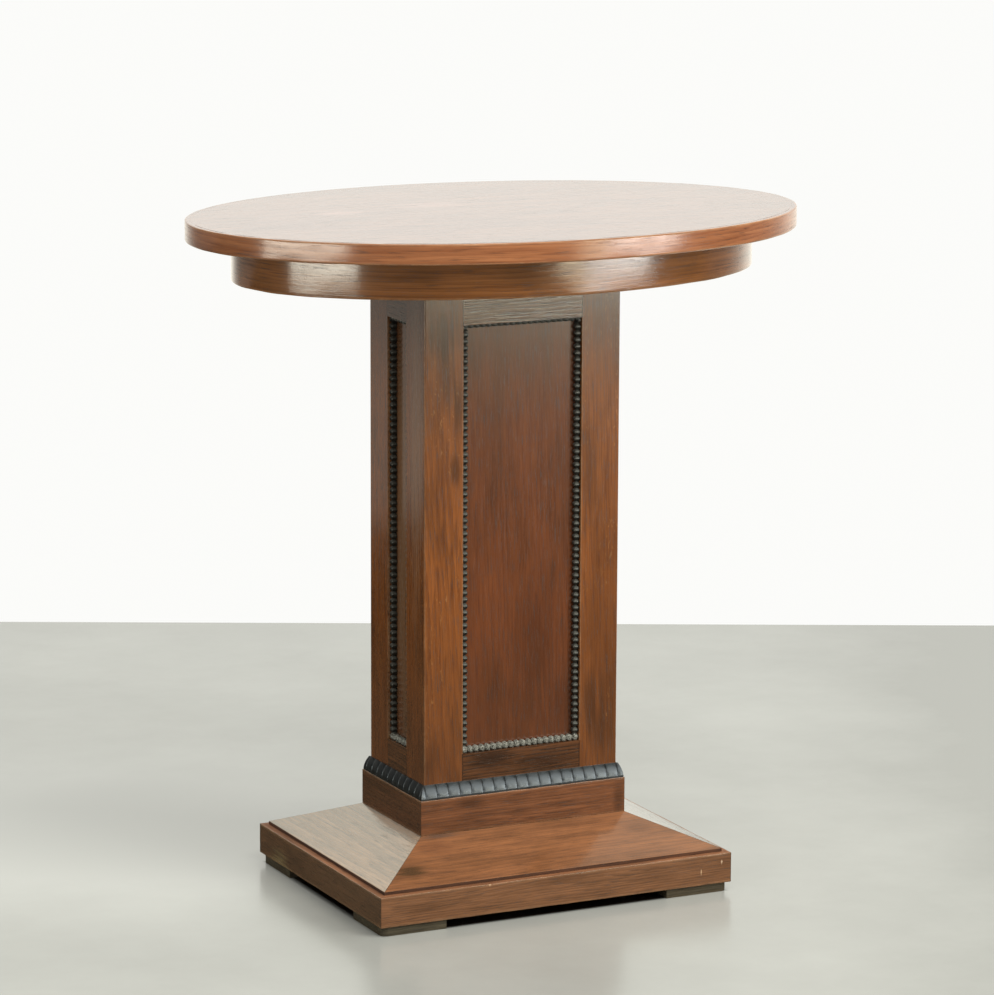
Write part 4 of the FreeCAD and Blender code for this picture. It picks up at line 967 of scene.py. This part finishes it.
def makeFloor():
    # A square of sealed concrete that ends where the wall behind the table begins, seen from
    # the camera. The sealer has gone uneven in soft clouds.
    v = floorValues
    reach, back = v["reach"], v["wallBehind"]
    corners = np.array([(-reach, -reach, 0), (reach, -reach, 0), (reach, back, 0), (-reach, back, 0)])
    mesh = bpy.data.meshes.new("floor")
    mesh.from_pydata(turned(corners, -math.degrees(viewAzimuth)).tolist(), [], [(0, 1, 2, 3)])
    mesh.update()
    floor = newObject("floor", mesh)
    material, add, place = newMaterial("sealedConcrete", 1.0)
    cloud = add("TexNoise", {"Vector": place, **v["clouds"]})
    amount = add("MapRange", [cloud, *v["cloudRange"]])
    patch = add("VectorMath", [place, v["patch"]], "DISTANCE").outputs["Value"]
    patch = add("MapRange", [patch, *v["patchRange"]], "SMOOTHSTEP")
    # Painted shade far to the right
    aside = add("VectorMath", [place, v["aside"]], "DOT_PRODUCT").outputs["Value"]
    aside = add("MapRange", [aside, *v["asideRange"]])
    amount = add("Math", [amount, patch], "ADD")
    amount = add("Math", [amount, aside], "SUBTRACT", use_clamp=True)
    colour = laidOver(add, toLinear(v["dull"]), amount, v["pale"])
    # In the shade between the feet: how far a point lies outside the rim's outline
    outside = add("VectorMath", [place], "ABSOLUTE")
    outside = add("VectorMath", [outside, (rimHigh[0], -rimLow[1], 0)], "SUBTRACT")
    outside = add("SeparateXYZ", [outside]).outputs
    outside = add("Math", [outside[0], outside[1]], "MAXIMUM")
    shaded = add("MapRange", [outside, *v["shade"]], "SMOOTHSTEP")
    colour = laidOver(add, colour, shaded, v["under"])
    # What the polish mirrors, from beside the base outwards
    distance = add("VectorMath", [place], "LENGTH").outputs["Value"]
    near = add("MapRange", [distance, *v["nearRange"]])
    far = add("MapRange", [distance, *v["farRange"]], "SMOOTHSTEP")
    close = add("MapRange", [distance, *v["closeRange"]])
    behind = add("VectorMath", [place, v["behind"]], "DOT_PRODUCT").outputs["Value"]
    behind = add("MapRange", [behind, *v["behindRange"]], "SMOOTHSTEP")
    behind = add("Math", [behind, close], "MULTIPLY")
    mirrored = toLinear(v["mirroredBeside"])
    for mask, key in ((near, "mirroredNear"), (far, "mirroredFar"), (behind, "mirroredBehind")):
        mirrored = laidOver(add, mirrored, mask, v[key])
    path = add("LightPath")
    sealed = add("BsdfPrincipled", {"Base Color": colour, "Roughness": v["roughness"], "IOR": v["ior"]})
    matt = add("BsdfDiffuse", {"Color": mirrored})
    shader = add("MixShader", [path.outputs["Is Glossy Ray"], sealed, matt])
    add("OutputMaterial", {"Surface": shader})
    floor.data.materials.append(material)


makeFloor()

# What polish mirrors: azimuth from -Y towards +X and elevation, both in degrees
roomValues = {
    "ambient": 0.24,  # on matt surfaces from all sides
    "ceiling": 0.75,  # and more from above
    "dark": 0.10,  # what polish mirrors of the room
    "ground": 0.18,  # and more below the horizon
    "groundRange": (-1.0, -5.0),
    "mirroredCeiling": 0.5,
    "ceilingRange": (34.0, 48.0),
    "wall": {"middle": 146.0, "half": 40, "soft": 17, "low": -60, "high": 42, "fade": 8},
    "wallLevels": (12.0, 26.0, 0.95, 1.25),  # brighter higher up
    "backdrop": 0.97,
    "mattTint": (1, 1, 0.98, 1),
    # Warmer towards the floor and higher up than at the height of the table's top
    "tintRange": (-20.0, 30.0),
    "tints": ((0.28, (1, 0.96, 0.85, 1)), (0.5, (1, 1, 0.95, 1)), (0.65, (1, 1, 0.95, 1))),
    "endTints": ((1, 0.96, 0.85, 1), (1, 0.99, 0.83, 1)),
}


def makeWorld():
    v = roomValues
    world = bpy.data.worlds.new("studio")
    scene.world = world
    world.use_nodes = True
    world.node_tree.nodes.clear()
    add = partial(addNode, world.node_tree)
    x, y, z = add("SeparateXYZ", [add("TexCoord").outputs["Generated"]]).outputs
    minusY = add("Math", [y, -1.0], "MULTIPLY")
    azimuth = add("Math", [x, minusY], "ARCTAN2")
    elevation = add("Math", [z], "ARCSINE")
    azimuth, elevation = (
        add("Math", [angle, 180 / math.pi], "MULTIPLY") for angle in (azimuth, elevation))
    wall = v["wall"]
    aside = add("Math", [azimuth, wall["middle"]], "SUBTRACT")
    aside = add("Math", [aside, 180.0, -180.0], "WRAP")
    aside = add("Math", [aside], "ABSOLUTE")
    # Between the wall's sides, above its foot and below its top
    mask = 1.0
    for place, edge, soft in ((aside, wall["half"], -wall["soft"]), (elevation, wall["low"], wall["fade"]),
                              (elevation, wall["high"], -wall["fade"])):
        part = add("MapRange", [place, edge - soft, edge + soft], "SMOOTHSTEP")
        mask = add("Math", [part, mask], "MULTIPLY")
    bright = add("MapRange", [elevation, *v["wallLevels"]], "SMOOTHSTEP")
    level = add("Math", [mask, bright, v["dark"]], "MULTIPLY_ADD")
    for key, more in (("ceilingRange", v["mirroredCeiling"]), ("groundRange", v["ground"])):
        part = add("MapRange", [elevation, *v[key]])
        level = add("Math", [part, more, level], "MULTIPLY_ADD")
    lifted = add("Math", [z, 0.0], "MAXIMUM")
    ambient = add("Math", [lifted, v["ceiling"], v["ambient"]], "MULTIPLY_ADD")
    path = add("LightPath")
    seen = add("Mix", {0: path.outputs["Is Glossy Ray"], 2: ambient, 3: level})
    seen = add("Mix", {0: path.outputs["Is Camera Ray"], 2: seen, 3: v["backdrop"]})
    tint = add("ValToRGB", [add("MapRange", [elevation, *v["tintRange"]])])
    for element, shade in zip(tint.color_ramp.elements, v["endTints"]):
        element.color = shade
    for stop, shade in v["tints"]:
        tint.color_ramp.elements.new(stop).color = shade
    tint = add("Mix", {0: path.outputs["Is Glossy Ray"], 6: v["mattTint"], 7: tint}, "RGBA").outputs[2]
    background = add("Background", {"Color": tint, "Strength": seen})
    add("OutputWorld", {"Surface": background})
    world.cycles.sampling_method = "NONE"  # so that its light is told apart by kind of ray


makeWorld()

# A tall window, a doorway and a soft lamp above. Each is either mirrored by the polish, but
# not by the floor and the pieces that it is kept from, or lights matt surfaces. Azimuths run
# from -Y towards +X in degrees, lengths are in metres, levels are radiances.
lampDefaults = {
    "reach": "mirrored", "distance": 4.9, "colour": (1, 0.99, 0.94), "keptFrom": (), "aimed": False,
}
lampValues = {
    "window": {"azimuth": 36, "width": 2.45, "low": 1.0, "high": 4.0, "level": 6.5, "reach": "matt"},
    "windowHead": {"azimuth": 0, "width": 9.6, "low": 1.1, "high": 3.6, "level": 2.3,
                   "colour": (1, 0.97, 0.88),
                   "keptFrom": ("topBoard", "topEdgeBand", "apronHoop", "slopeBoard")},
    "windowFoot": {"azimuth": 39.3, "width": 1.85, "low": 0.01, "high": 1.0, "level": 8.2,
                   "colour": (1, 0.985, 0.92)},
    "windowGlow": {"azimuth": 24.5, "width": 0.7, "low": 0.01, "high": 1.0, "level": 5.6,
                   "colour": (1, 0.89, 0.64)},
    "doorway": {"azimuth": -70.5, "width": 3.6, "low": 0.01, "high": 0.8, "level": 7.5,
                "colour": (1, 0.97, 0.82)},
    "besideLeft": {"azimuth": -75, "width": 3.0, "low": 0.4, "high": 3.0, "level": 1.0, "reach": "matt"},
    "soft": {"azimuth": 15, "distance": 2.0, "width": 2.4, "low": 2.8, "high": 4.6, "level": 5.5,
             "reach": "matt", "aimed": True},
}


def makeLamp(name, values):
    v = dict(lampDefaults, **values)
    azimuth, height = math.radians(v["azimuth"]), v["high"] - v["low"]
    out = Vector((math.sin(azimuth), -math.cos(azimuth), 0))
    light = bpy.data.lights.new(name, "AREA")
    light.shape = "RECTANGLE"
    light.size = v["width"]
    light.size_y = height
    light.energy = 4 * v["level"] * v["width"] * height  # the watts that give the radiance
    light.color = v["colour"]
    lamp = newObject(name, light)
    lamp.location = out * v["distance"] + Vector((0, 0, v["low"] + height / 2))
    column = Vector((0, 0, 0.5))
    facing = (lamp.location - column).normalized() if v["aimed"] else out
    lamp.rotation_mode = "QUATERNION"
    lamp.rotation_quaternion = facing.to_track_quat("Z", "Y")
    lamp.visible_camera = False
    lamp.visible_glossy = v["reach"] != "matt"
    lamp.visible_diffuse = v["reach"] != "mirrored"
    if v["reach"] == "mirrored":
        lit = bpy.data.collections.new(name + "Lit")
        for piece in scene.objects:
            if piece.type == "MESH" and not piece.name.startswith(("floor", *v["keptFrom"])):
                lit.objects.link(piece)
        lamp.light_linking.receiver_collection = lit


for name, values in lampValues.items():
    makeLamp(name, values)

cameraValues = {
    "place": (-2.1035, -4.3439, 1.3917), "elevation": 11.169, "roll": 0.213, "lens": 159.07,
}


def makeCamera():
    v = cameraValues
    e, roll = math.radians(v["elevation"]), math.radians(v["roll"])
    back = Vector((-math.sin(viewAzimuth) * math.cos(e), -math.cos(viewAzimuth) * math.cos(e), math.sin(e)))
    right = (-back).cross(Vector((0, 0, 1))).normalized()
    up = right.cross(-back)
    turnedRight = right * math.cos(roll) + up * math.sin(roll)
    turnedUp = up * math.cos(roll) - right * math.sin(roll)
    camera = newObject("camera", bpy.data.cameras.new("camera"))
    turning = Matrix((turnedRight, turnedUp, back)).transposed().to_4x4()
    camera.matrix_world = Matrix.Translation(v["place"]) @ turning
    camera.data.lens = v["lens"]
    camera.data.sensor_width = 36
    camera.data.clip_end = 100
    scene.camera = camera


makeCamera()
scene.view_settings.view_transform = "Standard"
print("stage, lamps and camera made")
